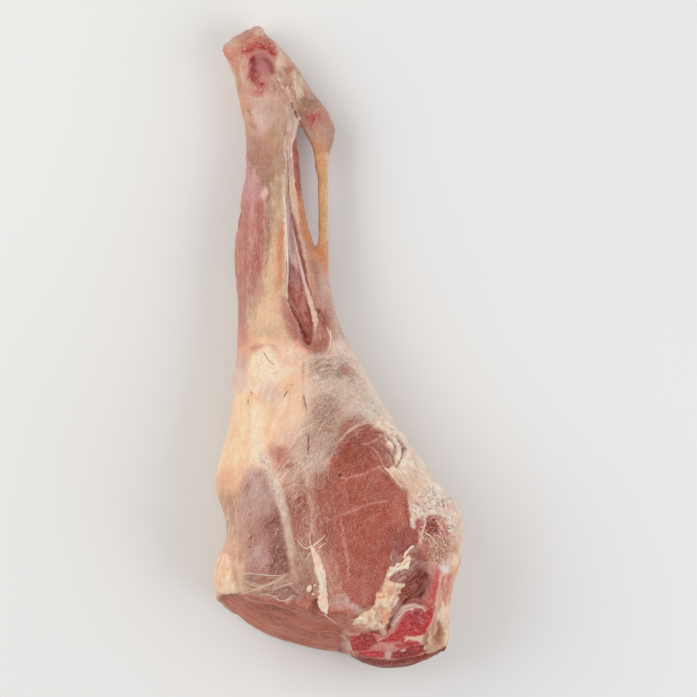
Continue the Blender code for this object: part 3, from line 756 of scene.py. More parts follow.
def paint_knee(canvas):
    """The kneecap and the shin head under thin skin, and the fat round them."""
    canvas.patch(
        "-64,2 -52.5,7 -33,2 -24.5,-3 -23.5,-36.5 -24.5,-64.5 -36.5,-68.5 -45.5,-66 -48.5,-84 -61,-88 "
        "-69.5,-106.5 -80.5,-117 -90.5,-106.5 -92.5,-92.5 -85.5,-57.5 -78,-22.5 -78,-1.5",
        (250, 208, 170), 0.95, soft=5)
    canvas.patch(
        "-75,2 -64,9 -55.5,3.5 -52.5,-1.5 -61,-7 -68,-10 -75,-10", (232, 168, 144), 0.8, soft=4)
    canvas.blobs(
        (-57, 0.5, 4.5, 1.8, (206, 132, 104), 0.6, 15, 0.8),
        (-66.5, 10, 4, 9, (204, 146, 138), 0.7, 0, 0.8))
    canvas.patch(
        "-59,-5.5 -55,-1.5 -49,0.5 -44.5,-2 -41.5,-7.5 -37.5,-12.5 -33,-17 -38,-23 -47,-24.5 -57,-23 "
        "-62.5,-18 -62,-11", (252, 230, 202), 0.95, soft=3.4, rise=0.6)
    # Painted shade: a grey-brown band round the top of the kneecap, also sunk a little.
    canvas.band("-57,-1.5 -52.5,1.5 -45.5,1.5 -40,-3", 2.0, (200, 158, 136), 0.6, soft=1.8, rise=-0.3)
    canvas.streaks(Blob((-48.5, -12.5), (16, 14)), 40, (226, 196, 168), 0.4, width=1.2, length=4, seed=75)
    canvas.patch("-76.5,-10 -69.5,-7 -64,-12.5 -63,-24 -65.5,-31 -75,-32", (220, 192, 186), 0.9, soft=3)
    canvas.blobs(
        (-66, -9, 4, 5.5, (204, 164, 150), 0.7, 0, 0.9),
        (-39.5, -35.5, 4.5, 4, (214, 172, 150), 0.6, 0, 0.9),
        (-55.5, -28.5, 6, 4, (244, 226, 208), 0.8, 0, 0.7))
    canvas.blob((-46.5, -32), (7.5, 6), (222, 194, 182), 0.85, rise=0.4, soft=0.7)
    canvas.blob((-47, -25), (5, 3), (232, 210, 198), 0.8, soft=0.7)
    canvas.band("-52.5,-36.5 -47,-38.5 -41,-37", 1.6, (238, 206, 178), 0.6, soft=1.0)
    canvas.patch(
        "-38,3 -30.5,3 -24,-3 -23.5,-12.5 -31.5,-17 -37.5,-12.5 -40,-5.5", (236, 202, 186), 0.55, soft=6)
    canvas.streaks(
        Blob((-31.5, -7), (9, 9)), 30, (250, 226, 208), 0.6, width=1.0, length=6, seed=23, rise=0.3)
    canvas.band("-37.5,-3 -31.5,-5.5 -26,-10", 1.6, (246, 220, 204), 0.5, soft=1.6, broken=(3, 0.6, 77))
    canvas.blobs(
        (-34.5, -16, 7, 2.8, (252, 228, 200), 0.8, 0, 0.7),
        (-35, -28.5, 2.6, 4.6, (218, 164, 124), 0.8, -25, 0.7),
        (-60.5, -32, 2.2, 2.2, (230, 166, 142), 0.6, 0, 0.8),
        (-62, -38, 1.6, 3.6, (232, 172, 138), 0.7, 0, 0.8))
    canvas.band("-67.5,-36.5 -64.5,-64.5 -68,-85.5", 14, (254, 216, 176), 0.6, soft=5)
    canvas.band("-76.5,-33 -80.5,-64.5 -85,-94", 9, (255, 214, 178), 0.9, soft=4)
    canvas.band("-55.5,-43.5 -56,-64.5 -52.5,-82.5 -47,-95", 9, (252, 226, 200), 0.8, soft=4)
    canvas.blob((-35, -45), (10, 16), (240, 206, 178), 0.8, soft=0.9)
    canvas.blob((-33, -61.5), (8, 8), (238, 200, 176), 0.7, soft=0.8, fibrous=0.4)
    canvas.streaks(
        Blob((-52.5, -57.5), (26, 40)), 88, (230, 186, 154), 0.3, width=2.0, length=16, seed=71)
    canvas.streaks(
        Blob((-52.5, -50.5), (30, 46)), 80, (254, 236, 212), 0.3, width=1.4, length=10, seed=73)
    canvas.blobs(
        (-78, -92.5, 7, 9, (226, 174, 144), 0.8, 0, 0.8),
        (-71, -104.5, 5, 7, (206, 154, 130), 0.7, 0, 0.9),
        (-80, -103, 5, 6, (218, 176, 148), 0.8, 0, 0.8),
        (-63, -87, 6, 6, (222, 184, 158), 0.7, 0, 0.9))
    canvas.band("-24,-5.5 -24,-22.5 -23.5,-33.5", 2.0, (232, 180, 158), 0.7, soft=1.6)
    canvas.band(
        "-24,-10 -24,-22.5 -23.5,-33.5 -22,-45 -20.5,-54.5", 0.8, (196, 132, 112), 0.7, soft=0.6,
        rise=-0.3)


def paint_thigh_middle(canvas):
    """Thin skin and fibres over the middle of the thigh, above the lean."""
    middle = Patch(
        "-17.5,-7 -1.5,-4 10.5,-10 23,-28 33.5,-45 24.5,-51 9,-56 0.5,-63 -6.5,-75.5 -13.5,-91 -26,-91 "
        "-30.5,-75 -26,-57.5 -17.5,-39", 7.0)
    canvas.lay(middle, (220, 190, 168), 0.95, fibrous=0.9, grain=36)
    canvas.band("-23.5,-10 -21,-36.5 -24.5,-64.5", 10, (236, 206, 180), 0.7, soft=6)
    canvas.band("-22,-29.5 -12,-25 0.5,-21", 6, (234, 210, 188), 0.8, soft=3.5)
    canvas.blob((9, -36.5), (14, 10), (236, 210, 188), 0.8, turn=35, soft=0.8)
    canvas.patch("2,-54.5 6,-47.5 13,-45 20,-48.5 20,-52 9,-56 2.5,-61.5", (162, 92, 76), 0.9, soft=3.0)
    canvas.blob((10.5, -51), (6, 2.4), (160, 86, 72), 0.7, turn=10, soft=0.9)
    canvas.patch("2,-4 10.5,-3 17.5,-14 14.5,-24 6,-22.5 0.5,-14", (200, 156, 142), 0.75, soft=4.0)
    canvas.patch("4.5,-8.5 10.5,-8.5 14.5,-14 10.5,-18 4,-17", (194, 132, 122), 0.8, soft=2.6)
    canvas.band("8,-10 11.5,-13.5 14,-17", 1.1, (228, 158, 142), 0.8, soft=0.6, rise=0.3)
    canvas.blob((-22, -75.5), (12, 18), (226, 198, 178), 0.8, turn=-8, soft=0.8, grain=78)
    canvas.blob((-16.5, -64.5), (6, 12), (206, 178, 158), 0.6, turn=-10, soft=0.9)
    canvas.band(
        "-24,-10 -23.5,-22.5 -23,-36.5 -22,-50.5 -21,-63 -20.5,-75 -20,-85.5", 0.8, (204, 146, 126),
        0.55, soft=0.6, rise=-0.5)
    canvas.streaks(
        Blob((-19, -75), (12, 22)), 78, (240, 220, 202), 0.7, width=0.9, length=7, seed=74, rise=0.2)
    canvas.streaks(middle, 34, (244, 224, 204), 0.7, width=0.9, length=7, cover=0.52, seed=76, rise=0.3)
    canvas.streaks(middle, 40, (162, 124, 106), 0.5, width=1.1, length=6, cover=0.42, seed=79, rise=-0.25)
    canvas.patch(
        "-16.5,-8.5 -5,-7 3.5,-12.5 0.5,-22.5 -9.5,-25 -16.5,-19.5", (184, 148, 130), 0.65, soft=6)
    canvas.blob((-11.5, -13.5), (8, 3.4), (150, 116, 98), 0.7, turn=-5, broken=(3.4, 0.8, 72), soft=0.9)
    canvas.blob((0.5, -17.5), (7, 3), (168, 132, 114), 0.6, turn=-5, broken=(3.0, 0.8, 70), soft=0.9)
    canvas.streaks(
        Blob((-7, -15.5), (17, 11)), 12, (250, 228, 210), 0.8, width=0.9, length=4.5, cover=0.46,
        seed=88, rise=0.5)
    canvas.blobs(
        (10.5, -10.5, 6, 7, (190, 142, 126), 0.6, 0, 0.9),
        (3.5, -42.5, 6, 6, (244, 214, 196), 0.8, 0, 0.9),
        # Painted light: this blob is painted paler than the fat to brighten the right flank, which the
        # lights reach less.
        (25.5, -40, 9, 12, (255, 244, 232), 0.85, -35, 0.9),
        (44, -68, 5, 8, (255, 238, 224), 0.8, -35, 0.9))
    canvas.patch(
        "0.5,-56 4.5,-50.5 11,-47 18.5,-48.5 20,-50.5 10.5,-55.5 2.5,-61", (186, 128, 112), 0.6,
        soft=2.6, fibrous=0.4)
    canvas.blob((-14, -1.5), (5, 2.6), (164, 102, 84), 0.7, soft=0.9)
    canvas.band(
        "-28,3.5 -24.5,1 -21,-2 -17.5,-3.5", 1.8, (232, 150, 130), 0.6, soft=0.9, rise=0.7,
        broken=(3, 0.4, 89))
    canvas.patch(
        "2.5,-13.5 6,-10 11,-10.5 14.5,-14 11.5,-17.5 4.5,-18", (186, 116, 106), 0.85, soft=1.2,
        rise=-0.4)
    canvas.band("9,-10.5 11.5,-12.5 14,-16", 1.2, (240, 168, 144), 0.8, soft=0.6, rise=0.5)
    canvas.band("1,-19 7,-19 13,-18", 0.8, (150, 96, 84), 0.6, soft=0.6, rise=-0.4)
    canvas.blobs(
        (-7, -47.5, 9, 14, (168, 118, 100), 0.8, -20, 0.95),
        (-6.5, -50.5, 5, 8, (150, 98, 84), 0.6, -20, 0.9))
    canvas.band("-20.5,-28 -9.5,-28 4.5,-28 20,-33.5", 9, (242, 216, 196), 0.7, soft=5)
    canvas.blobs(
        (-20.5, -73, 11, 14, (196, 154, 136), 0.5, -10, 0.95),
        (-13.5, -61.5, 8, 12, (190, 150, 132), 0.55, -15, 0.95),
        (-10.5, -42.5, 6, 9, (164, 112, 94), 0.6, -20, 0.9))
    canvas.streaks(
        Blob((-9.5, -43.5), (14, 20)), 42, (226, 200, 180), 0.45, width=0.8, length=6, seed=83, rise=0.3)
    # Pale fat along the right of the thigh's middle, painted paler still as painted light, since the
    # lights reach this flank less.
    canvas.patch(
        "-2.5,2 6,3.5 30,-25 45.5,-53 38.5,-64.5 20,-35 14.5,-19.5 6,-8.5", (252, 232, 214), 0.9, soft=5)
    canvas.streaks(
        Band("5.5,-3 24.5,-32 42.5,-60", 12), -52, (252, 236, 220), 0.7, width=1.0, length=8, seed=82,
        rise=0.35)
    canvas.streaks(
        Band("5.5,-3 24.5,-32 42.5,-60", 12), -40, (206, 166, 148), 0.4, width=1.1, length=6,
        cover=0.42, seed=85, rise=-0.35)
    canvas.band("-4.5,11 -1,-1.5 3.5,-10", 1.0, (234, 208, 192), 0.7, soft=0.5, rise=0.4)
    canvas.band("-20.5,-60 -20,-67 -20.5,-73", 0.9, (170, 60, 62), 0.85, soft=0.5, rise=-0.8)
    canvas.band("-18.5,-61.5 -18.5,-68.5", 1.2, (200, 110, 106), 0.6, soft=0.8)
    canvas.band(
        "-33,-68.5 -28,-61.5 -23.5,-56.5 -17.5,-54", 1.1, (238, 212, 192), 0.8, soft=0.6, rise=0.5)
    canvas.band("-31,-70.5 -27,-64.5 -22,-59.5", 1.2, (160, 126, 112), 0.5, soft=0.8, rise=-0.4)


def paint_knee_muscle(canvas):
    """The small red patch of muscle above the front thigh, crossed by white fibres."""
    canvas.patch(
        "-47,-68.5 -38.5,-68.5 -31.5,-74 -29,-81 -32.5,-88 -39.5,-89 -44.5,-82 -48,-75",
        (214, 154, 138), 0.9, soft=4.5, lean=0.3, grain=45, fibrous=0.4)
    canvas.blobs(
        (-38, -75.5, 4.4, 5.6, (184, 102, 88), 0.85, 0, 0.9),
        (-33, -83.5, 4, 3.4, (178, 112, 98), 0.75, 0, 0.9))
    canvas.streaks(
        Blob((-34.5, -85.5), (11, 10)), 52, (244, 220, 202), 0.85, width=0.8, length=6, seed=88,
        rise=0.35)
    canvas.streaks(
        Blob((-31.5, -89.5), (10, 9)), 45, (146, 98, 84), 0.55, width=0.8, length=5, seed=89, rise=-0.3)


def paint_thigh_front(canvas):
    """The front thigh muscle below its fat, lilac above and purple-brown below."""
    canvas.patch(
        "-82,-103.5 -71,-106.5 -66,-119 -65.5,-148.5 -68,-155.5 -79.5,-148.5 -80.5,-127.5",
        (200, 160, 134), 0.95, soft=5)
    canvas.streaks(Blob((-73, -131), (8, 28)), 85, (184, 144, 126), 0.5, width=1.2, length=8, seed=91)
    canvas.streaks(Blob((-73, -131), (8, 28)), 85, (244, 218, 196), 0.6, width=1.1, length=7, seed=90)
    front = Patch(
        "-64,-94 -57,-85.5 -49,-89.5 -43,-103.5 -38,-119 -34.5,-138 -33,-158 -48.5,-161 -62.5,-159.5 "
        "-65.5,-141.5 -66,-120.5 -66,-106.5", 6.0)
    canvas.lay(front, (182, 132, 120), 0.95, rise=0.3, lean=0.3, fibrous=0.25, grain=64)
    canvas.patch(
        "-64,-91 -57,-82.5 -49,-88 -45,-99.5 -48.5,-109 -57,-113.5 -64,-116 -66,-106.5",
        (206, 170, 162), 0.95, soft=5.5)
    canvas.blobs(
        (-50, -94, 3.6, 9, (176, 136, 128), 0.7, 10, 0.9),
        (-62.5, -96.5, 4, 6, (186, 146, 136), 0.6, 0, 0.9),
        (-60.5, -117, 6, 6, (212, 172, 168), 0.8, 0, 0.9))
    canvas.patch(
        "-66.5,-127.5 -59.5,-122 -51.5,-115 -43,-109 -38,-123 -35,-138 -33,-155.5 -40,-159 -48.5,-154 "
        "-55.5,-145.5 -64,-137", (162, 104, 90), 0.95, soft=5)
    canvas.blobs(
        (-45, -119, 7, 11, (142, 84, 70), 0.95, 8, 0.9),
        (-40, -145.5, 7.5, 12, (128, 72, 62), 0.95, 0, 0.9),
        (-64, -131.5, 6.0, 16, (204, 160, 142), 0.85, 0, 0.9),
        (-57, -119, 5, 6, (196, 152, 142), 0.7, 0, 0.9))
    canvas.band("-59.5,-127.5 -61,-134.5 -63,-141.5", 2.0, (160, 108, 94), 0.6, soft=1.4)
    canvas.blob((-50, -131), (6, 5), (170, 118, 108), 0.7, soft=0.9)
    canvas.patch(
        "-59.5,-139.5 -54,-134.5 -48.5,-138 -48.5,-148.5 -55.5,-154 -61,-151", (194, 150, 144), 0.85,
        soft=4.5)
    canvas.blob((-55.5, -141.5), (2.6, 4.0), (214, 182, 176), 0.6, turn=-20, soft=0.8)
    canvas.streaks(front, 66, (222, 188, 176), 0.35, width=0.8, length=5, cover=0.45, seed=92)
    canvas.streaks(front, 62, (120, 72, 62), 0.35, width=0.8, length=5, cover=0.42, seed=95)


def paint_thigh_sinews(canvas):
    """Two pale sinews down the thigh and the speckled strip of muscle between them."""
    strip = Patch(
        "-37.5,-95 -29,-89.5 -22.5,-91 -18.5,-102 -15.5,-117.5 -15,-133 -18.5,-145.5 -16.5,-162.5 "
        "-22,-176.5 -28,-168 -30.5,-148.5 -31.5,-127.5 -35,-110", 3.6)
    canvas.lay(strip, (168, 98, 82), 0.95, lean=0.5, fibrous=0.35, grain=78)
    canvas.blobs(
        (-27, -106.5, 7.5, 16, (160, 84, 70), 0.85, -8, 0.9),
        (-24.5, -129, 7, 8, (184, 122, 108), 0.7, 0, 0.9),
        (-24.5, -152.5, 6, 16, (184, 144, 128), 0.9, 0, 0.9),
        (-22.5, -169.5, 5, 9, (166, 112, 98), 0.7, 0, 0.9))
    canvas.streaks(strip, 70, (226, 184, 166), 0.5, width=0.8, length=3.0, cover=0.44, seed=97, rise=0.2)
    canvas.streaks(strip, 104, (128, 66, 56), 0.45, width=0.8, length=3.0, cover=0.42, seed=98)
    canvas.band(
        "-52,-75.5 -45.5,-91 -40,-104.5 -36,-117.5 -34,-130 -31.5,-143", 6.2, (244, 222, 204), 0.95,
        end_width=2.8, soft=2.8, rise=0.4, fibrous=0.8, grain=-70)
    canvas.band(
        "-45,-89.5 -41,-101 -37.5,-112 -34.5,-124.5", 4.0, (250, 230, 212), 0.8, end_width=2.0,
        soft=2.4, rise=0.3, broken=(4, 0.6, 96))
    canvas.streaks(
        Band("-51.5,-82.5 -43,-101 -36,-120.5 -31.5,-140", 9), -70, (178, 132, 116), 0.5, width=0.8,
        length=6, seed=94, rise=-0.2)
    canvas.band(
        "-32.5,-140 -31,-152.5 -28,-165 -26,-180.5", 2.6, (222, 184, 166), 0.75, soft=2.0, rise=0.4,
        broken=(4, 0.6, 93))
    canvas.band("-27,-174.5 -25.5,-180.5", 2.8, (226, 188, 172), 0.8, soft=0.9, rise=0.5)
    canvas.band(
        "-24,-80 -21,-92.5 -19,-105 -17.5,-117 -17,-127.5", 2.2, (228, 194, 176), 0.8, soft=1.8,
        rise=0.3, broken=(4, 0.5, 87))
    canvas.patch(
        "-17,-94 -10.5,-88 -5,-106.5 -3.5,-138 -10.5,-143 -15.5,-118.5", (166, 92, 76), 0.9, soft=4.5,
        lean=0.8, fibrous=0.15, grain=84)
    canvas.streaks(
        Blob((-10.5, -115), (9, 38)), 80, (220, 174, 156), 0.5, width=0.8, length=3.6, cover=0.44,
        seed=99, rise=0.15)
    canvas.streaks(Blob((-16.5, -81), (10, 12)), 75, (244, 222, 204), 0.6, width=0.8, length=6, seed=100)
    canvas.blobs(
        (-12, -87, 6, 7, (180, 130, 112), 0.6, 0, 0.95),
        (-6, -94.5, 4, 9, (156, 86, 70), 0.7, 0, 0.9),
        (-31, -93, 4, 6, (222, 182, 162), 0.7, -20, 0.9))
    canvas.streaks(
        Blob((-31.5, -92.5), (9, 14)), 42, (240, 212, 192), 0.6, width=0.8, length=7, seed=92, rise=0.3)
    canvas.blob((-48.5, -111.5), (5, 6), (204, 168, 156), 0.6, soft=0.9)


def paint_flank(canvas):
    """The folds, the horizontal fibres and the fat lobe at the flank."""
    canvas.patch(
        "-71,-154 -52.5,-159 -34.5,-157.5 -27,-166 -25.5,-178 -36.5,-175.5 -52.5,-173.5 -71,-173",
        (174, 122, 106), 0.9, soft=3.0, fibrous=0.25, grain=12)
    canvas.patch(
        "-64,-161 -52.5,-159.5 -40,-161 -43,-164.5 -52.5,-166 -61,-167.5 -66,-165", (164, 106, 94), 0.9,
        soft=2.4, rise=-0.5)
    canvas.patch(
        "-44.5,-167.5 -34.5,-164 -28,-166.5 -28,-173 -37.5,-174.5 -47,-173", (140, 98, 94), 0.85,
        soft=2.8, rise=-0.6)
    canvas.blobs(
        (-64, -168.5, 6, 4, (216, 178, 148), 0.85, 0, 0.8),
        (-50, -169.5, 13, 4, (166, 114, 100), 0.8, 0, 0.9))
    canvas.streaks(
        Blob((-50, -166.5), (22, 8)), 16, (226, 194, 172), 0.45, width=0.9, length=9, seed=101, rise=0.3)
    for points in (
        "-68,-157 -55.5,-157 -48.5,-158 -42,-159.5 -36,-157.5",
        "-68,-172 -59.5,-169.5 -51.5,-167.5 -44.5,-163 -37.5,-159.5",
        "-44.5,-168 -37.5,-165 -31,-164",
        "-42,-173.5 -38.5,-176.5 -34.5,-175 -30.5,-172",
        "-35,-160.5 -32.5,-164 -27.5,-169.5",
        "-64,-163 -55.5,-165 -47,-164.5",
    ):
        canvas.band(points, 1.0, (226, 196, 176), 0.7, soft=0.8, rise=0.5, broken=(5, 0.5, 84))
    canvas.patch(
        "-72.5,-150 -67.5,-148.5 -64,-159.5 -66.5,-169.5 -71,-172 -73,-162.5", (232, 200, 172), 0.9,
        soft=3.4)
    lobe = Patch(
        "-81.5,-144 -77,-143 -73,-148.5 -72.5,-157 -71,-165 -69,-172 -73,-175 -75,-177 -80.5,-175 "
        "-86.5,-171 -89,-162.5 -86.5,-152.5 -83.5,-147", 0.7)
    canvas.lay(lobe, (252, 208, 176), rise=1.2)
    canvas.band("-83.5,-145.5 -87,-154 -88.5,-162.5 -86.5,-172 -79.5,-179", 4.0, rise=-2.4, soft=3.0)
    canvas.blobs(
        (-80.5, -150, 4.4, 5, (240, 180, 150), 0.8, -20, 0.8),
        (-82, -161, 5, 8, (252, 208, 172), 0.8, 0, 0.8),
        (-73.5, -168, 5, 5, (252, 222, 190), 0.8, 0, 0.8))
    canvas.streaks(lobe, 75, (254, 232, 206), 0.5, width=1.4, length=5, seed=104, rise=0.5)
    canvas.streaks(lobe, 60, (214, 158, 128), 0.5, width=1.2, length=4, cover=0.42, seed=105, rise=-0.5)
    canvas.band("-71.5,-152.5 -70,-162.5 -67.5,-172", 1.4, (186, 140, 116), 0.5, soft=1.2, rise=-0.6)
    canvas.blob((-76, -138.5), (5, 6), (226, 184, 154), 0.8, soft=0.8)


def paint_lean(canvas):
    """The big bare muscle at the back of the thigh."""
    lean = Patch(
        "-5,-76.5 -2.5,-69.5 3.5,-61 11.5,-55.5 20,-52 26.5,-54.5 30,-61.5 35.5,-71.5 38.5,-81 37,-86 "
        "45.5,-96 50,-99.5 51.5,-115 56,-124.5 58,-135 49.5,-140.5 41,-148.5 37,-152.5 32.5,-162.5 "
        "28.5,-169.5 25.5,-178 18.5,-182 11.5,-179 3.5,-172 -1.5,-157 -4.5,-138 -9.5,-120.5 -13,-101 "
        "-10.5,-88", 1.2)
    canvas.lay(lean, (182, 101, 88), rise=-1.0, lean=1.0, grain=60)
    canvas.band(
        "-12,-89.5 -12,-106.5 -9.5,-127.5 -6.5,-148.5 -1.5,-169.5", 12, (180, 108, 92), 0.7, soft=8,
        fibrous=0.3)
    canvas.blobs(
        (13, -68.5, 16, 13, (156, 80, 68), 0.85, 0, 0.9),
        (10.5, -78.5, 11, 6, (160, 88, 66), 0.6, 0, 0.9),
        (17.5, -99.5, 22, 10, (178, 102, 86), 0.6, 0, 0.9),
        (5.5, -106.5, 12, 12, (174, 94, 80), 0.5, 0, 0.9),
        (27, -120.5, 20, 9, (174, 92, 76), 0.5, 0, 0.9),
        (18.5, -138, 14, 26, (178, 96, 80), 0.7, 0, 0.9),
        (38.5, -120.5, 12, 12, (182, 98, 84), 0.5, 0, 0.9),
        (44.5, -110, 6, 11, (200, 122, 106), 0.7, 0, 0.9),
        (21.5, -176.5, 8, 6, (192, 124, 108), 0.6, 0, 0.9),
        (45.5, -135, 11, 10, (158, 82, 76), 0.85, 0, 0.8),
        (20, -166.5, 9, 14, (186, 112, 100), 0.7, 0, 0.9),
        (7.5, -157, 7, 16, (186, 110, 94), 0.6, 0, 0.9))
    canvas.streaks(lean, 62, (200, 124, 106), 0.16, width=0.8, length=3.6, cover=0.45, seed=107)
    canvas.streaks(lean, 56, (146, 70, 56), 0.10, width=0.9, length=3.6, cover=0.42, seed=108)
    canvas.patch("25.5,-56 34,-63 38.5,-74 37.5,-84 32.5,-81 28,-71.5", (176, 112, 100), 0.8, soft=3.0)
    canvas.streaks(
        Blob((32.5, -71.5), (8, 16)), -50, (228, 186, 170), 0.6, width=0.8, length=5, seed=109, rise=0.4)
    for points in (
        "2.5,-89.5 9,-89.5 17.5,-87.5 25.5,-84 35.5,-80.5",
        "4.5,-115 13,-112 20,-109 28.5,-107 35.5,-106.5",
        "0,-126 3.5,-133 5.5,-141.5 8,-152.5",
        "24.5,-68.5 28.5,-74 32.5,-82.5",
        "2.5,-120.5 5.5,-134.5 7.5,-145.5 8,-162.5",
        "17.5,-67 25.5,-64.5 30,-61.5",
    ):
        canvas.band(points, 0.9, (226, 172, 154), 0.80, soft=0.7, rise=0.3, broken=(4, 0.5, 105))
    canvas.band(
        "-6,-80 -4,-73 1,-65 6.5,-59 14,-54 21,-51.5 26.5,-53", 1.3, (240, 208, 190), 0.9, soft=0.6,
        rise=1.1, broken=(3.5, 0.5, 104))
    # Painted shadow: two dark bands outside the raised pale rim, also sunk a little.
    canvas.band(
        "-8,-77 -5,-69.5 0,-63 5.5,-57.5", 2.2, (150, 102, 88), 0.6, soft=1.2, rise=-0.6,
        broken=(4, 0.4, 20))
    canvas.band("-6,-75.5 -3,-70 0.5,-65", 1.8, (138, 90, 76), 0.7, soft=1.0, rise=-0.8)
    canvas.streaks(
        Band("-5,-80 2,-64.5 16,-56", 6), 40, (232, 190, 172), 0.35, width=0.8, length=4, seed=110,
        rise=0.3)


def paint_membrane(canvas):
    """The grey film and the pink muscle at the lean's lower corner."""
    canvas.patch(
        "-6,-179 2,-175 9,-178 16,-185 13,-190.5 7.5,-194.5 0.5,-192 -4.5,-186", (208, 134, 116), 0.9,
        soft=2.0, lean=0.5, grain=60)
    canvas.band(
        "-1.5,-175 3.5,-172 8,-177 14,-181.5 18,-185.5 16,-188.5", 4.0, (208, 180, 172), 0.85, soft=1.6,
        rise=0.4, broken=(3, 0.6, 111), fibrous=0.6, grain=-40)
    canvas.blob((2, -176.5), (4.0, 3.4), (200, 164, 162), 0.7, soft=0.8)
    canvas.band("4,-171 7,-175", 1.2, (228, 208, 200), 0.8, soft=0.6, rise=0.4)
    canvas.patch(
        "-6,-145.5 0,-148.5 5.5,-171 0.5,-176.5 -5,-175 -6.5,-159.5", (186, 118, 104), 0.7, soft=3.0,
        lean=0.6, grain=96)
    canvas.streaks(Blob((-1, -162.5), (7, 18)), 100, (226, 180, 164), 0.6, width=0.8, length=5, seed=113)
    canvas.band("10.5,-189 14.5,-187.5 17.5,-184", 1.4, (228, 206, 190), 0.7, soft=0.6, rise=0.5)


def paint_back_fat(canvas):
    """Cream fat along the back edge, ragged and raised where it meets the lean."""
    border = Patch(
        "25.5,-50.5 32.5,-47.5 44,-54 65,-80.5 91.5,-112 93,-148.5 80.5,-152.5 70.5,-148.5 76,-143 "
        "77.5,-134.5 72,-123 65,-116 56.5,-120.5 54.5,-125.5 51,-123 51,-115 49,-105 51,-98 48,-96.5 "
        "44.5,-93 40.5,-89 35.5,-84.5 37.5,-82.5 40.5,-80 37,-68.5 31.5,-59", 0.5)
    canvas.lay(border, (246, 222, 200), rise=1.0, fibrous=0.15, grain=-50)
    canvas.band("44,-54 65,-80 87.5,-110.5", 8, (254, 226, 202), 0.8, soft=4)
    canvas.streaks(
        border, -50, (208, 166, 144), 0.5, width=1.6, length=5, cover=0.44, seed=115, rise=-0.8)
    canvas.streaks(
        border, -56, (255, 244, 230), 0.75, width=1.4, length=5, cover=0.46, seed=118, rise=0.6)
    # Raised ridges of fat, painted paler than the fat round them as their painted highlight.
    for points in (
        "27,-54.5 32.5,-57.5 38.5,-60",
        "32.5,-59 37.5,-63 41,-68.5",
        "35.5,-66.5 39.5,-70.5 43,-76.5 45.5,-81",
        "32.5,-52.5 39.5,-57.5 46,-63.5",
        "41,-63 45.5,-68.5 48,-75.5",
    ):
        canvas.band(points, 2.6, (254, 236, 218), 0.85, soft=1.0, rise=1.6, broken=(3, 0.4, 116))
    # Painted shade: dark grooves between the ridges, also sunk.
    for points in (
        "28.5,-58 34,-61.5 37.5,-66.5 39.5,-74",
        "35.5,-70 38.5,-75.5 39.5,-82.5",
        "45.5,-70 44,-77 41,-82.5",
        "37,-61.5 42.5,-66 46.5,-71.5",
    ):
        canvas.band(points, 1.2, (154, 108, 92), 0.85, soft=0.8, rise=-1.5, broken=(3, 0.4, 117))
    # The fat's edge over the lean: a raised pale line painted as its painted highlight, and just outside
    # it a dark line, sunk a little, painted as its shadow.
    canvas.band("34,-84 39,-89 43,-94 46.5,-96.5 50,-98", 1.4, (254, 236, 214), 0.9, soft=0.5, rise=1.0)
    canvas.band(
        "50,-99.5 50,-106.5 51.5,-115.5 53.5,-124", 1.4, (254, 234, 214), 0.9, soft=0.5, rise=1.0)
    canvas.band(
        "32.5,-87 37.5,-91.5 42.5,-96.5 47.5,-99.5", 1.2, (134, 66, 54), 0.6, soft=1.0, rise=-0.5)
    canvas.band("48,-101 48,-108 49.5,-116 51.5,-125.5", 1.2, (134, 66, 54), 0.6, soft=1.0, rise=-0.5)
    canvas.patch("51,-98 58,-91 63.5,-99.5 60.5,-109 53.5,-110.5", (250, 218, 192), 0.7, soft=2.5)
    canvas.blobs(
        (69, -110, 6, 5, (200, 168, 152), 0.6, -45, 0.9),
        (82.5, -134.5, 4, 12, (204, 160, 134), 0.6, 0, 0.9),
        (51.5, -93, 7, 5, (216, 182, 158), 0.6, -45, 0.9),
        # Painted highlight: a near-white blob on the fat.
        (70, -101.5, 7, 5, (255, 242, 228), 0.8, -45, 0.9))
    canvas.band("40.5,-89.5 46.5,-96.5 51.5,-106.5 53.5,-116", 4.5, (212, 166, 146), 0.6, soft=3.0)
    canvas.band("45.5,-56 60.5,-77 79,-99.5", 6, rise=-1.6, soft=4.0)
    scales = Patch(
        "53.5,-109 60.5,-102 69,-98 76,-105 84.5,-115 82.5,-130 79,-141.5 76,-134.5 72,-123 65,-116 "
        "58,-118.5", 3.0)
    canvas.lay(scales, (228, 204, 188), 0.8)
    canvas.streaks(
        scales, 30, (254, 240, 224), 0.95, width=3.0, length=4.2, cover=0.52, seed=121, rise=1.6)
    canvas.streaks(
        scales, -40, (172, 130, 114), 0.8, width=1.6, length=4.0, cover=0.42, seed=124, rise=-1.2)
    canvas.streaks(
        scales, -40, (250, 232, 216), 0.6, width=1.0, length=1.6, cover=0.46, seed=126, rise=0.4)
    canvas.blob((74, -110), (2.2, 1.0), (204, 128, 118), 0.8)
    canvas.band("85,-115 86.5,-127.5 85,-141.5", 6, (246, 212, 184), 0.8, soft=2)
    canvas.streaks(
        Blob((82.5, -131), (5, 16)), 80, (204, 154, 128), 0.5, width=1.4, length=6, seed=127, rise=-0.7)
    canvas.blob((81, -140.5), (3, 3.5), (192, 140, 110), 0.7, rise=-0.6)
    canvas.patch(
        "70.5,-152.5 75.5,-147 80.5,-141.5 81.5,-145.5 78,-152.5 77,-161 74,-161 72.5,-155.5",
        (234, 222, 214), 0.9, soft=1.6, rise=0.5)
    canvas.blob((82.5, -154.5), (3.4, 6.5), (236, 178, 128), 0.9, soft=0.6, rise=1.0)
    canvas.blob((80.5, -148.5), (3, 3), (246, 222, 194), 0.8)


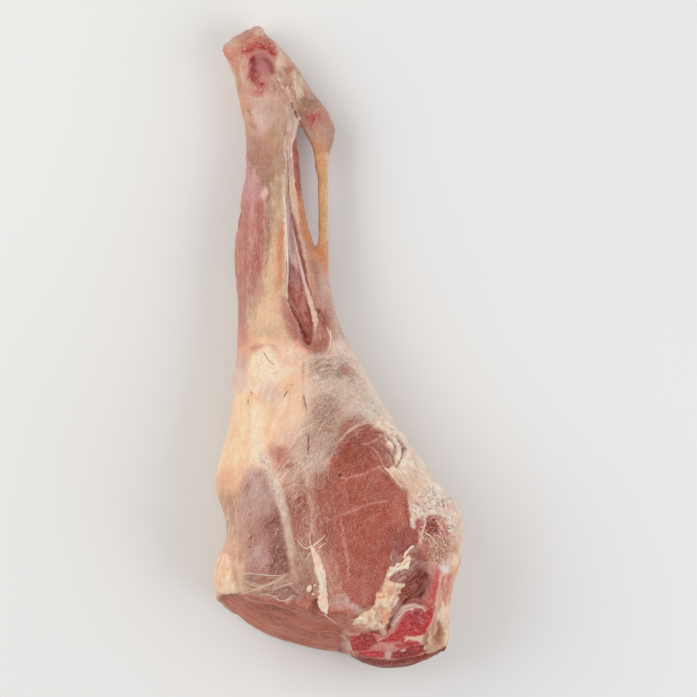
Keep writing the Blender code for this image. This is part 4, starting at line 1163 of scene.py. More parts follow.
def paint_torn_fat(canvas):
    """The torn place in the back fat, bare meat under loose shreds."""
    torn = Patch(
        "53.5,-119.5 60,-118.5 65,-116 70.5,-119 75.5,-126 77.5,-136 76,-144 70.5,-148.5 63.5,-147.5 "
        "58.5,-142 57,-134.5 56.5,-127.5", 2.0)
    canvas.lay(torn, (190, 124, 110), rise=-0.9, lean=0.2)
    canvas.patch(
        "63,-119 67,-117.5 70.5,-122 72,-127.5 67.5,-131 63,-128", (168, 74, 68), 0.9, soft=1.4,
        lean=0.8)
    canvas.patch("53.5,-121 58,-119.5 60,-122 58,-125.5 55,-124.5", (188, 110, 104), 0.9, soft=1.2)
    canvas.patch("57,-136 63,-134.5 65.5,-140 63.5,-145.5 58.5,-144", (206, 142, 128), 0.9, soft=2.0)
    canvas.blob((72.5, -130), (3.6, 7.0), (196, 124, 112), 0.8, turn=-15, soft=0.8)
    canvas.streaks(torn, 60, (236, 200, 186), 0.7, width=1.2, length=3.4, cover=0.44, seed=129, rise=0.9)
    canvas.streaks(torn, -30, (150, 84, 76), 0.6, width=1.0, length=3.0, cover=0.42, seed=130, rise=-0.8)
    scaly = Blob((70, -139.5), (9, 10), 0, 0.8)
    canvas.lay(scaly, (206, 154, 128), 0.8)
    canvas.streaks(
        scaly, -50, (244, 214, 188), 0.9, width=1.3, length=2.4, cover=0.50, seed=131, rise=1.0)
    canvas.streaks(scaly, 40, (140, 74, 58), 0.7, width=1.0, length=2.2, cover=0.42, seed=134, rise=-0.8)
    canvas.band(
        "60.5,-117.5 60.5,-123 58.5,-129 58,-135", 1.8, (236, 208, 192), 0.9, soft=0.6, rise=0.9,
        broken=(2, 0.5, 132))
    canvas.patch(
        "50,-140.5 56,-138 60.5,-143 63,-148.5 58,-148.5 52.5,-145.5", (150, 84, 80), 0.9, soft=1.6,
        rise=-1.2)
    canvas.patch(
        "63,-119.5 65.5,-118.5 68.5,-119.5 70.5,-124 72,-128 68.5,-130 64,-129 62,-124.5",
        (158, 70, 64), 0.9, soft=0.8, rise=-0.6, lean=0.8)
    canvas.patch(
        "58.5,-135 63,-134.5 65.5,-138 65.5,-143 62,-145.5 59.5,-141.5", (196, 124, 108), 0.9, soft=1.6)
    # Painted highlight: a near-white blob on the fat above the torn place, also raised a little.
    canvas.blob((70, -101.5), (5, 4), (252, 236, 220), 0.9, turn=-45, soft=0.8, rise=0.5)
    canvas.blob((53.5, -140.5), (3, 2.4), (190, 146, 142), 0.8, turn=40, rise=0.6)


def paint_pelvis(canvas):
    """The hollow in front of the sawn hip bone, and the meat round it."""
    canvas.patch(
        "35.5,-152.5 42.5,-145.5 51,-141.5 61.5,-145.5 72,-150 76,-159.5 72,-176.5 67.5,-185 60.5,-185 "
        "46.5,-185 38.5,-190.5 35.5,-176.5", (184, 130, 122), soft=1.6)
    canvas.patch(
        "37.5,-157 45.5,-151 52.5,-148.5 60.5,-150 63.5,-154 55,-157 49.5,-161 42.5,-165 38.5,-162.5",
        (152, 98, 94), 0.9, soft=2.6)
    canvas.streaks(
        Blob((52.5, -152.5), (16, 6), 20), 25, (214, 164, 156), 0.6, width=1.0, length=5, seed=139,
        rise=0.3)
    canvas.streaks(
        Blob((44, -159.5), (9, 5), 20), 30, (214, 170, 152), 0.8, width=1.1, length=3.5, cover=0.46,
        seed=140, rise=0.6)
    canvas.streaks(
        Blob((44, -159.5), (9, 5), 20), -35, (112, 62, 58), 0.6, width=1.0, length=3.0, cover=0.42,
        seed=138, rise=-0.5)
    canvas.patch(
        "37.5,-140.5 42,-142 44.5,-146.5 39.5,-150 37.5,-148.5", (176, 128, 122), 0.7, soft=1.6)
    hollow = Patch(
        "47.5,-162.5 52.5,-158 58,-154.5 63,-157 64,-164 60.5,-171 56.5,-175.5 51,-178 44.5,-178 "
        "42.5,-174.5 44,-168.5", 1.8)
    canvas.lay(hollow, (138, 64, 52), rise=-1.4, lean=0.5, grain=50)
    canvas.streaks(hollow, 48, (196, 134, 116), 0.7, width=0.9, length=4, seed=141, rise=0.4)
    canvas.streaks(hollow, 48, (104, 44, 38), 0.5, width=0.9, length=4, cover=0.42, seed=142, rise=-0.3)
    canvas.band(
        "61.5,-158 61.5,-165 58.5,-170 54.5,-174.5 49.5,-175.5", 1.6, (116, 54, 48), 0.8, soft=1.1,
        rise=-0.8)
    canvas.patch(
        "62,-162.5 67.5,-158 70,-162.5 65,-175 65,-180.5 58,-179 60,-173.5", (202, 140, 134), 0.9,
        soft=2.2, rise=0.3)
    canvas.blob((69, -152.5), (7, 4), (206, 160, 150), 0.7, turn=25, soft=0.8)
    canvas.band(
        "70.5,-155.5 67.5,-165 65,-174.5 65.5,-180.5", 5.2, (206, 96, 92), 0.95, soft=2.2, spongy=0.5,
        grain=70)
    canvas.band(
        "69,-164 66.5,-172 65.5,-178.5", 2.4, (180, 48, 54), 0.7, soft=1.6, broken=(3, 0.5, 143))
    canvas.band("73.5,-158 71,-168 68.5,-179", 1.8, (224, 174, 160), 0.85, soft=0.9, rise=0.4)


def paint_right_rim(canvas):
    """The folded meat and fat to the right of the sawn bone."""
    rim = Patch(
        "72,-158 80.5,-159.5 83,-169.5 79,-180.5 84.5,-190.5 84.5,-211.5 72,-220 60.5,-215 62,-204.5 "
        "67,-192 70,-179", 1.0)
    canvas.lay(rim, (230, 190, 162))
    canvas.patch(
        "73.5,-159.5 80.5,-159.5 81,-171 78,-180.5 74,-180.5 72,-172", (204, 120, 110), 0.9, soft=2.2,
        lean=0.3, grain=80)
    canvas.streaks(
        Blob((76, -169.5), (5, 13)), 78, (232, 176, 150), 0.8, width=0.9, length=6, seed=144, rise=0.3)
    canvas.blob((73.5, -166), (1.8, 4), (208, 124, 104), 0.5)
    canvas.patch(
        "70.5,-180.5 74.5,-179 78,-185 76,-192 72,-190.5 69,-186", (232, 212, 192), 0.9, soft=1.6)
    canvas.patch(
        "67.5,-190.5 72.5,-192 74,-199 70.5,-206 65.5,-203 65.5,-196", (176, 112, 84), 0.8, soft=4.0,
        rise=-1.0)
    for points in (
        "72.5,-180.5 76,-187.5 76,-197.5 74.5,-207",
        "70.5,-187.5 74,-194.5 74,-204.5",
        "67.5,-204.5 72,-210 76,-211.5",
        "70,-183.5 69,-192 67.5,-200",
    ):
        canvas.band(points, 1.8, (238, 208, 178), 0.85, soft=0.8, rise=1.0, broken=(4, 0.3, 145))
    canvas.streaks(rim, 82, (248, 222, 192), 0.6, width=1.3, length=6, cover=0.48, seed=146, rise=0.7)
    canvas.streaks(rim, 78, (176, 120, 92), 0.5, width=1.1, length=6, cover=0.42, seed=148, rise=-0.6)
    canvas.band(
        "72,-169.5 70,-179 66.5,-190.5 63,-200 62,-207", 2.2, (222, 174, 158), 0.9, soft=1.0, rise=0.4)
    canvas.patch("62,-207 69,-208.5 74.5,-211.5 72,-217 63.5,-217", (212, 168, 138), 0.8, soft=1.8)
    canvas.blob((70, -202.5), (2.6, 5), (162, 102, 76), 0.8, soft=0.8)


def paint_bone_bed(canvas):
    """The meat between the sawn bone, the fat and the lean."""
    canvas.patch(
        "2,-194.5 10.5,-192 20,-196 30,-197.5 38.5,-193 42.5,-187.5 46.5,-190.5 38.5,-204.5 24.5,-204.5 "
        "10.5,-204.5 4.5,-200", (180, 108, 88), soft=1.2, lean=0.5, grain=6)
    canvas.streaks(
        Blob((17.5, -197.5), (20, 6)), 4, (226, 172, 146), 0.6, width=0.9, length=7, seed=149, rise=0.3)
    canvas.band("4,-196.5 9,-199 14.5,-199.5", 2.0, (228, 180, 156), 0.85, soft=0.9, rise=0.8)
    canvas.patch(
        "22,-196.5 28.5,-196 30.5,-200 28,-203.5 23.5,-200", (150, 70, 66), 0.9, soft=1.0, rise=-0.8)
    canvas.patch(
        "30,-196 35.5,-197.5 37,-200 32,-201.5 30,-200", (212, 182, 172), 0.9, soft=0.8, rise=0.3)
    canvas.patch(
        "32.5,-192 38.5,-187.5 42.5,-190.5 41,-196 35.5,-198", (150, 74, 60), 0.85, soft=1.4, rise=-1.0)
    canvas.blob((11, -194.5), (7, 2.4), (214, 148, 128), 0.7, soft=0.9)


def paint_rump_rim(canvas):
    """The browned meat under the sawn bone."""
    canvas.patch(
        "3.5,-204.5 9,-211.5 17.5,-215.5 38.5,-218 63.5,-213.5 79,-206 84.5,-215.5 65,-234 30,-239.5 "
        "4.5,-225.5 0.5,-211.5", (136, 44, 30), soft=1.0, lean=0.8, grain=8)
    canvas.band(
        "9,-215 18.5,-220 38.5,-222 60.5,-217.5 72,-214", 1.0, (166, 92, 76), 0.6, soft=0.8, rise=0.3)
    canvas.band("5.5,-204.5 7.5,-211.5 13,-216.5", 2.4, (206, 148, 132), 0.85, soft=0.9, rise=0.4)
    canvas.blob((70.5, -208.5), (7, 8), rise=2.0, soft=0.9)
    canvas.streaks(
        Patch("9,-215 38.5,-220.5 72,-215 58,-235 23,-235", 1.5), 8, (186, 96, 74), 0.35, width=1.2,
        length=7, seed=147, rise=0.3)


def paint_rump_cut(canvas):
    """The cut across the rump: lean in long strips between pale seams."""
    face = ease((-canvas.facing[:, 1] - 0.55) / 0.25)
    face = face * ease((9 - canvas.places[:, 0]) / 3) * ease((-150 - canvas.places[:, 1]) / 10)
    chosen = np.flatnonzero(face > 0)
    if len(chosen) == 0:
        return
    amount = face[chosen]
    x = canvas.places[chosen, 0]
    z = canvas.places[chosen, 2]
    flat = np.column_stack((x, 3.2 * z, np.zeros(len(x))))
    tint = np.tile(linear((206, 116, 90)), (len(x), 1))
    patches = ease(0.5 + noise(flat, (26, 30, 1), 111, 3))
    tint += (linear((180, 86, 62)) - tint) * (0.8 * patches)[:, None]
    bend = z + 6 * noise(flat, 22, 115, 3)
    lines = noise(np.column_stack((x / 18, bend / 2.0, np.zeros(len(x)))), 1.0, 117, 3)
    tint += (linear((226, 142, 108)) - tint) * (0.3 * ease(lines * 1.6))[:, None]
    tint += (linear((158, 70, 50)) - tint) * (0.25 * ease(-lines * 1.6))[:, None]
    seams = (
        "-68,62 -54,51 -44,50",
        "-60,30 -40,36 -26,30 -14,34",
        "-30,70 -18,60 -4,66 6,60",
        "-50,80 -38,72",
        "-30,14 -10,18 6,16",
        "-12,48 2,44",
    )
    for points in seams:
        distance, _ = distance_to_curve(x, z, curve_through(points))
        seam = ease((1.6 - distance) / 1.4)
        tint += (linear((236, 160, 128)) - tint) * (0.45 * seam)[:, None]
        canvas.rise[chosen] += 0.4 * seam * amount
    rind = ease((12 - z) / 4)
    tint += (linear(FELL) - tint) * (0.85 * rind)[:, None]
    # Painted shade: the cut is painted darker where it faces upward, towards the lights.
    lit = ease((canvas.facing[chosen, 2] - 0.25) / 0.4)
    tint *= 1 - lit[:, None] * (0.20, 0.24, 0.14)
    canvas.rise[chosen] += 3.4 * amount * Blob((-26, 0), (34, 400), soft=0.6).share(x, 0 * x)
    canvas.rise[chosen] -= 2.6 * amount * Blob((-80, 0), (12, 400), soft=0.8).share(x, 0 * x)
    canvas.tint[chosen] += (tint - canvas.tint[chosen]) * amount[:, None]
    canvas.lean[chosen] += (0.9 - canvas.lean[chosen]) * amount
    canvas.grain[chosen] = np.where(amount > 0.5, 8, canvas.grain[chosen])


def paint_rump_edge(canvas):
    """The hollow in the meat's edge by the fat cord, and the thin pale edge."""
    canvas.patch(
        "-29,-179 -22,-172 -15,-172 -12,-179 -9.5,-185 -16.5,-188.5 -24.5,-184", (188, 116, 98), 0.9,
        soft=2.0, lean=0.7)
    canvas.blob((-15, -178.5), (3.4, 4), (134, 68, 58), 0.85, turn=-25, rise=-1.4)
    canvas.blobs(
        (-39.5, -177.5, 9, 2.2, (140, 70, 56), 0.8, -6, 0.9),
        (2.5, -186, 6, 4, (200, 136, 120), 0.7, 0, 0.9))
    canvas.band(
        "-70,-173 -52.5,-174.5 -40,-175.5 -27,-180", 0.9, (214, 160, 136), 0.7, soft=0.5, rise=0.3)


def paint_outer_side(canvas):
    """The side the leg lies on: thin white skin over fat, with pink showing through."""
    under = 1.0 - ease((canvas.facing[:, 2] - UPPER_SIDE_NORMAL) / 0.35)
    not_face = 1.0 - ease((-canvas.facing[:, 1] - 0.7) / 0.2) * (canvas.places[:, 1] < -150)
    under = under * not_face
    chosen = np.flatnonzero(under > 0)
    if len(chosen) == 0:
        return
    places = canvas.places[chosen]
    amount = under[chosen]
    tint = np.tile(linear(FELL), (len(chosen), 1))
    pink = ease(0.35 + noise(places, (26, 60, 26), 121, 3))
    tint += (linear(FELL_PINK) - tint) * (0.55 * pink)[:, None]
    white = ease(noise(places, (16, 34, 16), 124, 3) * 1.6)
    tint += (linear(FELL_WHITE) - tint) * (0.6 * white)[:, None]
    shank = ease((places[:, 1] - 30) / 60) * (1 - ease((places[:, 1] - 165) / 20))
    tint += (linear((190, 130, 120)) - tint) * (0.55 * shank)[:, None]
    streak = ease(noise(places / (3.5, 34, 3.5), 1.0, 127, 3) * 1.5)
    tint += (linear((226, 202, 180)) - tint) * (0.35 * streak)[:, None]
    canvas.tint[chosen] += (tint - canvas.tint[chosen]) * amount[:, None]
    canvas.lean[chosen] *= 1 - 0.8 * amount
    canvas.rise[chosen] += 0.5 * noise(places, (9, 18, 9), 131, 3) * amount


def raise_grain(canvas):
    """Fine unevenness everywhere: soft lumps in fat, ropy lines in lean, and blotches."""
    places = canvas.places
    canvas.rise += 0.25 * noise(places, 6.0, 141, 3) + 0.14 * noise(places, 1.8, 142, 2)
    along, across, z = along_grain(places, canvas.grain)
    ropes = noise(np.column_stack((along / 9, across / 1.5, z / 3)), 1.0, 144, 3)
    canvas.rise += 0.18 * np.maximum(canvas.lean, canvas.fibrous) * ropes
    canvas.tint *= (1 + 0.06 * noise(places, 12.0, 145, 2) + 0.06 * ropes)[:, None]
    ruddy = noise(places, (7.0, 9.0, 7.0), 147, 3)[:, None]
    canvas.tint *= 1 + ruddy * (0.02, -0.05, -0.05)


def paint_leg(canvas):
    """All the layers, from the ground up."""
    for layer in (
        paint_ground, paint_hock, paint_heel, paint_sheath, paint_shin_muscle, paint_shin_sinew,
        paint_calf_strips, paint_pocket, paint_knee, paint_thigh_middle, paint_knee_muscle,
        paint_thigh_front, paint_lean, paint_thigh_sinews, paint_membrane, paint_pelvis,
        paint_back_fat, paint_torn_fat, paint_right_rim, paint_bone_bed, paint_flank,
        paint_rump_cut, paint_rump_rim, paint_rump_edge, paint_hock_joint, paint_outer_side,
        raise_grain,
    ):
        layer(canvas)


def paint_hip_bone(canvas):
    """The sawn hip bone: a red fan of marrow between rims of bone and gristle."""
    canvas.lay(Blob((0, 0), (400, 400)), (208, 130, 120), spongy=0.4, grain=20)
    canvas.patch(
        "41,-185 45.5,-178 52.5,-173.5 60.5,-173.5 69,-176.5 72,-185 67.5,-192 63.5,-181.5 58,-178.5 "
        "48,-178.5 42.5,-183.5", (168, 102, 92), 0.95, soft=1.0, spongy=0)
    canvas.patch(
        "42.5,-179 46.5,-175 53.5,-171.5 60.5,-171.5 63.5,-175 58,-177 49.5,-178 44,-182",
        (162, 104, 96), 0.9, soft=2.0, spongy=0)
    canvas.patch(
        "37,-189 41,-180.5 46.5,-176.5 51,-176.5 45.5,-182 41,-189 37,-196", (150, 86, 78), 0.9,
        soft=1.0, spongy=0)
    fan = Patch(
        "38.5,-199 42.5,-194.5 44.5,-189 47.5,-185 51.5,-182.5 57,-181.5 63.5,-182.5 66.5,-180.5 "
        "67.5,-184 65,-192 62,-196.5 60,-201 52.5,-201 47.5,-200 44,-204.5 35.5,-205 28.5,-206 32,-203",
        0.7)
    canvas.lay(fan, (200, 24, 36), spongy=0.8)
    canvas.streaks(fan, 20, (130, 10, 20), 0.4, width=1.0, length=3.0, cover=0.42, seed=157, rise=-0.3)
    canvas.patch(
        "45.5,-189 49,-184 56.5,-182 63,-184 63,-190.5 59.5,-196 52.5,-192.5", (186, 74, 74), 0.95,
        soft=1.8, spongy=0.1)
    canvas.streaks(
        Blob((54.5, -189), (9, 8)), -48, (232, 160, 150), 0.95, width=1.0, length=7, cover=0.46,
        seed=151, rise=0.4)
    canvas.streaks(
        Blob((54.5, -189), (9, 8)), -48, (96, 12, 22), 0.6, width=1.0, length=6, cover=0.42, seed=152,
        rise=-0.3)
    canvas.band("66.5,-180.5 65,-187.5 62,-194.5 60,-199.5", 2.0, (208, 22, 38), 0.95, soft=0.8)
    canvas.band(
        "44,-190.5 49.5,-193 56.5,-196.5 60.5,-199.5", 1.2, (232, 130, 124), 0.6, soft=0.8,
        broken=(2, 0.5, 150))
    canvas.band(
        "38.5,-192.5 40.5,-186 44,-182 49,-179 53.5,-179 58,-180 60.5,-182.5", 2.8, (216, 184, 170),
        0.98, end_width=1.8, soft=0.6, rise=1.0, spongy=0)
    canvas.band(
        "38.5,-187.5 42,-182 46.5,-178 53,-177 58.5,-178.5", 0.9, (128, 72, 64), 0.7, soft=0.7,
        rise=-0.4)
    canvas.band("41,-190.5 44,-185.5 48,-182 53,-181", 1.0, (244, 226, 216), 0.8, soft=0.5, rise=0.3)
    canvas.band(
        "42.5,-192 45.5,-187.5 49.5,-184 55,-182.5 60,-184", 1.0, (196, 120, 114), 0.8, soft=0.6,
        broken=(1.5, 0.5, 149))
    canvas.band("70.5,-157 67.5,-165 65,-174.5 65.5,-181.5", 3.8, (200, 78, 78), 0.85, soft=1.8)
    canvas.band(
        "72.5,-166.5 70,-178 66.5,-190.5 63,-200", 2.4, (226, 176, 160), 0.9, soft=1.0, spongy=0)
    left = Patch(
        "7.5,-206 10.5,-201.5 16,-199.5 23.5,-199.5 27,-202.5 29,-205 25.5,-208 23.5,-210.5 16,-211.5 "
        "9.5,-210", 1.0)
    canvas.lay(left, (178, 22, 30), 0.95, spongy=0.9)
    canvas.streaks(left, 30, (118, 8, 18), 0.5, width=1.0, length=2.4, cover=0.42, seed=155, rise=-0.3)
    canvas.blob((20, -201.5), (3.5, 2), (150, 20, 30), 0.8, broken=(2, 0.8, 153))
    canvas.blob((11, -206.5), (3, 3), (212, 100, 96), 0.8, soft=0.9)
    canvas.band("27,-205 31.5,-203 36,-201.5", 1.2, (232, 176, 166), 0.7, soft=0.6)
    canvas.patch(
        "31.5,-208 34,-206 38.5,-206.5 41,-208.5 39,-210.5 35,-211", (212, 152, 140), 0.95, soft=1.2,
        rise=0.4, spongy=0.1)
    canvas.band("24.5,-209.5 30,-207 34,-206.5", 2.4, (220, 148, 140), 0.85, soft=1.2, spongy=0.4)
    canvas.band("41,-208 46.5,-208.5 52.5,-207", 2.0, (186, 52, 54), 0.8, soft=1.0)
    canvas.patch(
        "44,-205 46.5,-202.5 51,-204.5 58,-206.5 53.5,-208 46.5,-208", (204, 40, 48), 0.9, soft=0.9,
        spongy=1.0)
    canvas.patch(
        "46.5,-206 48,-202 53.5,-201 60.5,-200 65,-200 65.5,-206 60.5,-208 56.5,-205 51.5,-203.5 "
        "48,-204.5", (236, 202, 180), 0.9, soft=0.7, rise=0.6, spongy=0)
    canvas.patch(
        "60.5,-200 66.5,-196 70.5,-204.5 67.5,-213 60.5,-210", (168, 110, 86), 0.9, soft=1.8, spongy=0)
    canvas.patch(
        "14,-213 20,-212 28.5,-212 34,-214 32,-216.5 24.5,-217 17.5,-215.5", (200, 46, 54), 0.95,
        soft=0.8, spongy=1.0)
    canvas.patch("34,-213 37.5,-212 38.5,-217 34,-217", (214, 172, 166), 0.9, soft=0.8, spongy=0)
    canvas.patch(
        "37.5,-217 39.5,-213 46,-210.5 53.5,-208.5 60.5,-208 65,-210 59.5,-214 50,-217.5 42.5,-218.5",
        (160, 8, 18), 0.98, soft=0.8, spongy=0.8)
    canvas.streaks(
        Blob((50, -213.5), (14, 5), 5), 15, (108, 6, 14), 0.5, width=1.0, length=2.4, cover=0.42,
        seed=156, rise=-0.3)
    canvas.blob((46, -211.5), (1.8, 1.0), (244, 204, 190), 0.9, turn=20, soft=0.5)
    canvas.band(
        "9,-212 17.5,-218.5 35.5,-220 51,-219 65,-213.5", 1.4, (196, 136, 120), 0.8, soft=0.8, spongy=0)
    canvas.band(
        "4.5,-211.5 16,-222 37,-224.5 52.5,-224 73.5,-215", 5.4, (150, 74, 62), 0.95, soft=1.0, spongy=0)
    canvas.rise += 0.2


def paint_hock_bone(canvas):
    """The bared joint, painted as the hock round it is."""
    paint_hock(canvas)
    paint_hock_joint(canvas)


# ---------------------------------------------------------------------------
# Mesh work
# ---------------------------------------------------------------------------
def vectors(items, name):
    """One vector of every vertex or face, as rows."""
    values = np.empty(len(items) * 3)
    items.foreach_get(name, values)
    return values.reshape(-1, 3)


def points_of(mesh):
    """Every vertex's place, in metres."""
    return vectors(mesh.vertices, "co")


def set_points(mesh, points):
    """Move the vertices to new places."""
    mesh.vertices.foreach_set("co", points.ravel())
    mesh.update()


def to_leg(points):
    """Metres in the frame to millimetres on the design leg."""
    return points / (np.array(STRETCH) * MM)


def to_frame(places):
    """Millimetres on the design leg to metres in the frame."""
    return places * (np.array(STRETCH) * MM)


def smoothed(mesh, points, rounds):
    """Relax points towards their neighbours, without shrinking the form."""
    edges = np.empty(len(mesh.edges) * 2, dtype=np.int64)
    mesh.edges.foreach_get("vertices", edges)
    start, end = edges.reshape(-1, 2).T
    count = len(points)
    links = np.bincount(start, minlength=count) + np.bincount(end, minlength=count)
    for _ in range(rounds):
        for pull in (RELAX, PUSH_BACK):
            total = np.zeros_like(points)
            for axis in range(points.shape[1]):
                total[:, axis] = np.bincount(start, points[end, axis], count)
                total[:, axis] += np.bincount(end, points[start, axis], count)
            points = points + pull * (total / links[:, None] - points)
    return points


def evaluated_copy(obj):
    """The mesh that an object's modifiers make."""
    bpy.context.view_layer.update()
    graph = bpy.context.evaluated_depsgraph_get()
    return bpy.data.meshes.new_from_object(obj.evaluated_get(graph))


def remeshed(name, nodes, voxel):
    """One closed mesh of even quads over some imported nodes."""
    joined = bmesh.new()
    for node in nodes:
        joined.from_mesh(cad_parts[node].data)
    mesh = bpy.data.meshes.new(name)
    joined.to_mesh(mesh)
    joined.free()
    obj = bpy.data.objects.new(name, mesh)
    bpy.context.scene.collection.objects.link(obj)
    remesh = obj.modifiers.new("even quads", "REMESH")
    remesh.mode = "VOXEL"
    remesh.voxel_size = voxel * MM
    baked = evaluated_copy(obj)
    obj.modifiers.clear()
    obj.data = baked
    return obj


def halve_quads(mesh, chosen):
    """Split the chosen quads in four."""
    bm = bmesh.new()
    bm.from_mesh(mesh)
    faces = [face for face in bm.faces if chosen[face.index]]
    edges = list({edge for face in faces for edge in face.edges})
    bmesh.ops.subdivide_edges(bm, edges=edges, cuts=1, use_grid_fill=True)
    bmesh.ops.triangulate(bm, faces=[f for f in bm.faces if len(f.verts) > 4])
    bm.to_mesh(mesh)
    bm.free()


def faces_of(mesh):
    """The middle and the normal of every face."""
    return vectors(mesh.polygons, "center"), vectors(mesh.polygons, "normal")


def store(mesh, canvas):
    """Write the painter's findings to the mesh, for the materials to read.

    The wet surface's own shine adds a pale veil, so the colours make room for it."""
    count = len(mesh.vertices)
    unveiled = np.clip((canvas.tint - SHINE_VEIL) * SHINE_GAIN, DARKEST, PALEST)
    colours = np.column_stack((unveiled, np.ones(count)))
    tint = mesh.attributes.new("tint", "FLOAT_COLOR", "POINT")
    tint.data.foreach_set("color", colours.ravel())
    nature = np.column_stack((canvas.lean, canvas.spongy, canvas.fibrous))
    kind = mesh.attributes.new("nature", "FLOAT_VECTOR", "POINT")
    kind.data.foreach_set("vector", nature.ravel())


def store_grain(mesh, canvas):
    """Write the texture places, turned to the grain face by face so that none stretch."""
    corner = np.empty(len(mesh.loops), dtype=np.int32)
    mesh.loops.foreach_get("vertex_index", corner)
    sizes = np.empty(len(mesh.polygons), dtype=np.int32)
    mesh.polygons.foreach_get("loop_total", sizes)
    face = np.repeat(np.arange(len(sizes)), sizes)
    turn = np.bincount(face, canvas.grain[corner]) / sizes
    rolled = np.column_stack(along_grain(canvas.places[corner], turn[face]))
    grain = mesh.attributes.new("grain", "FLOAT_VECTOR", "CORNER")
    grain.data.foreach_set("vector", rolled.ravel())


# ---------------------------------------------------------------------------
# Materials
# ---------------------------------------------------------------------------
class Shader:
    """A material's nodes, added and joined in short calls."""

    def __init__(self, name):
        self.material = bpy.data.materials.new(name)
        self.material.use_nodes = True
        self.tree = self.material.node_tree
        self.tree.nodes.clear()

    def add(self, kind, sockets, **settings):
        node = self.tree.nodes.new(kind)
        for setting, value in settings.items():
            setattr(node, setting, value)
        for socket, value in sockets.items():
            if isinstance(value, bpy.types.NodeSocket):
                self.tree.links.new(value, node.inputs[socket])
            else:
                node.inputs[socket].default_value = value
        return node

    def vector(self, name):
        return self.add("ShaderNodeAttribute", {}, attribute_name=name).outputs["Vector"]

    def colour(self, name):
        return self.add("ShaderNodeAttribute", {}, attribute_name=name).outputs["Color"]

    def times(self, a, b):
        return self.add("ShaderNodeMath", {0: a, 1: b}, operation="MULTIPLY").outputs[0]

    def plus(self, a, b):
        return self.add("ShaderNodeMath", {0: a, 1: b}, operation="ADD").outputs[0]

    def ramp(self, value, low, high, start=0.0, end=1.0):
        sockets = {"Value": value, "From Min": low, "From Max": high, "To Min": start,
                   "To Max": end}
        return self.add("ShaderNodeMapRange", sockets, clamp=True).outputs["Result"]

    def mix(self, share, a, b, blend_type="MIX"):
        sockets = {0: share, 6: a, 7: b}
        return self.add("ShaderNodeMix", sockets, data_type="RGBA",
                        blend_type=blend_type).outputs[2]

    def noise(self, places, size, detail=2.0, roughness=0.5):
        """Noise from 0 to 1 whose features measure size, in millimetres, on each axis."""
        scaled = self.add("ShaderNodeVectorMath", {0: places, 1: [1.0 / s for s in size]},
                          operation="MULTIPLY").outputs["Vector"]
        return self.add("ShaderNodeTexNoise", {"Vector": scaled, "Scale": 1.0, "Detail": detail,
                                               "Roughness": roughness}).outputs["Fac"]

    def cells(self, places, size, feature="F1"):
        """Distance to scattered points about size millimetres apart."""
        scaled = self.add("ShaderNodeVectorMath", {0: places, 1: [1.0 / size] * 3},
                          operation="MULTIPLY").outputs["Vector"]
        return self.add("ShaderNodeTexVoronoi", {"Vector": scaled, "Scale": 1.0},
                        feature=feature).outputs["Distance"]

    def thin_lines(self, value, half_width):
        """Where a value passes its middle: thin winding lines."""
        away = self.add("ShaderNodeMath", {0: value, 1: 0.5}, operation="SUBTRACT").outputs[0]
        away = self.add("ShaderNodeMath", {0: away}, operation="ABSOLUTE").outputs[0]
        return self.ramp(away, half_width, 0.2 * half_width)

    def bump(self, height):
        """Surface detail from heights in millimetres."""
        return self.add("ShaderNodeBump", {"Strength": 1.0, "Distance": MM,
                                           "Height": height}).outputs["Normal"]

    def surface(self, colour, roughness, height, **constants):
        """Finish the material with a Principled shader."""
        sockets = {"Base Color": colour, "Roughness": roughness, "Normal": self.bump(height)}
        sockets.update({name.replace("_", " "): value for name, value in constants.items()})
        principled = self.add("ShaderNodeBsdfPrincipled", sockets)
        self.add("ShaderNodeOutputMaterial", {"Surface": principled.outputs["BSDF"]})
        return self.material


def solid(colour):
    """A shader colour from an sRGB colour."""
    return (*linear(colour), 1.0)


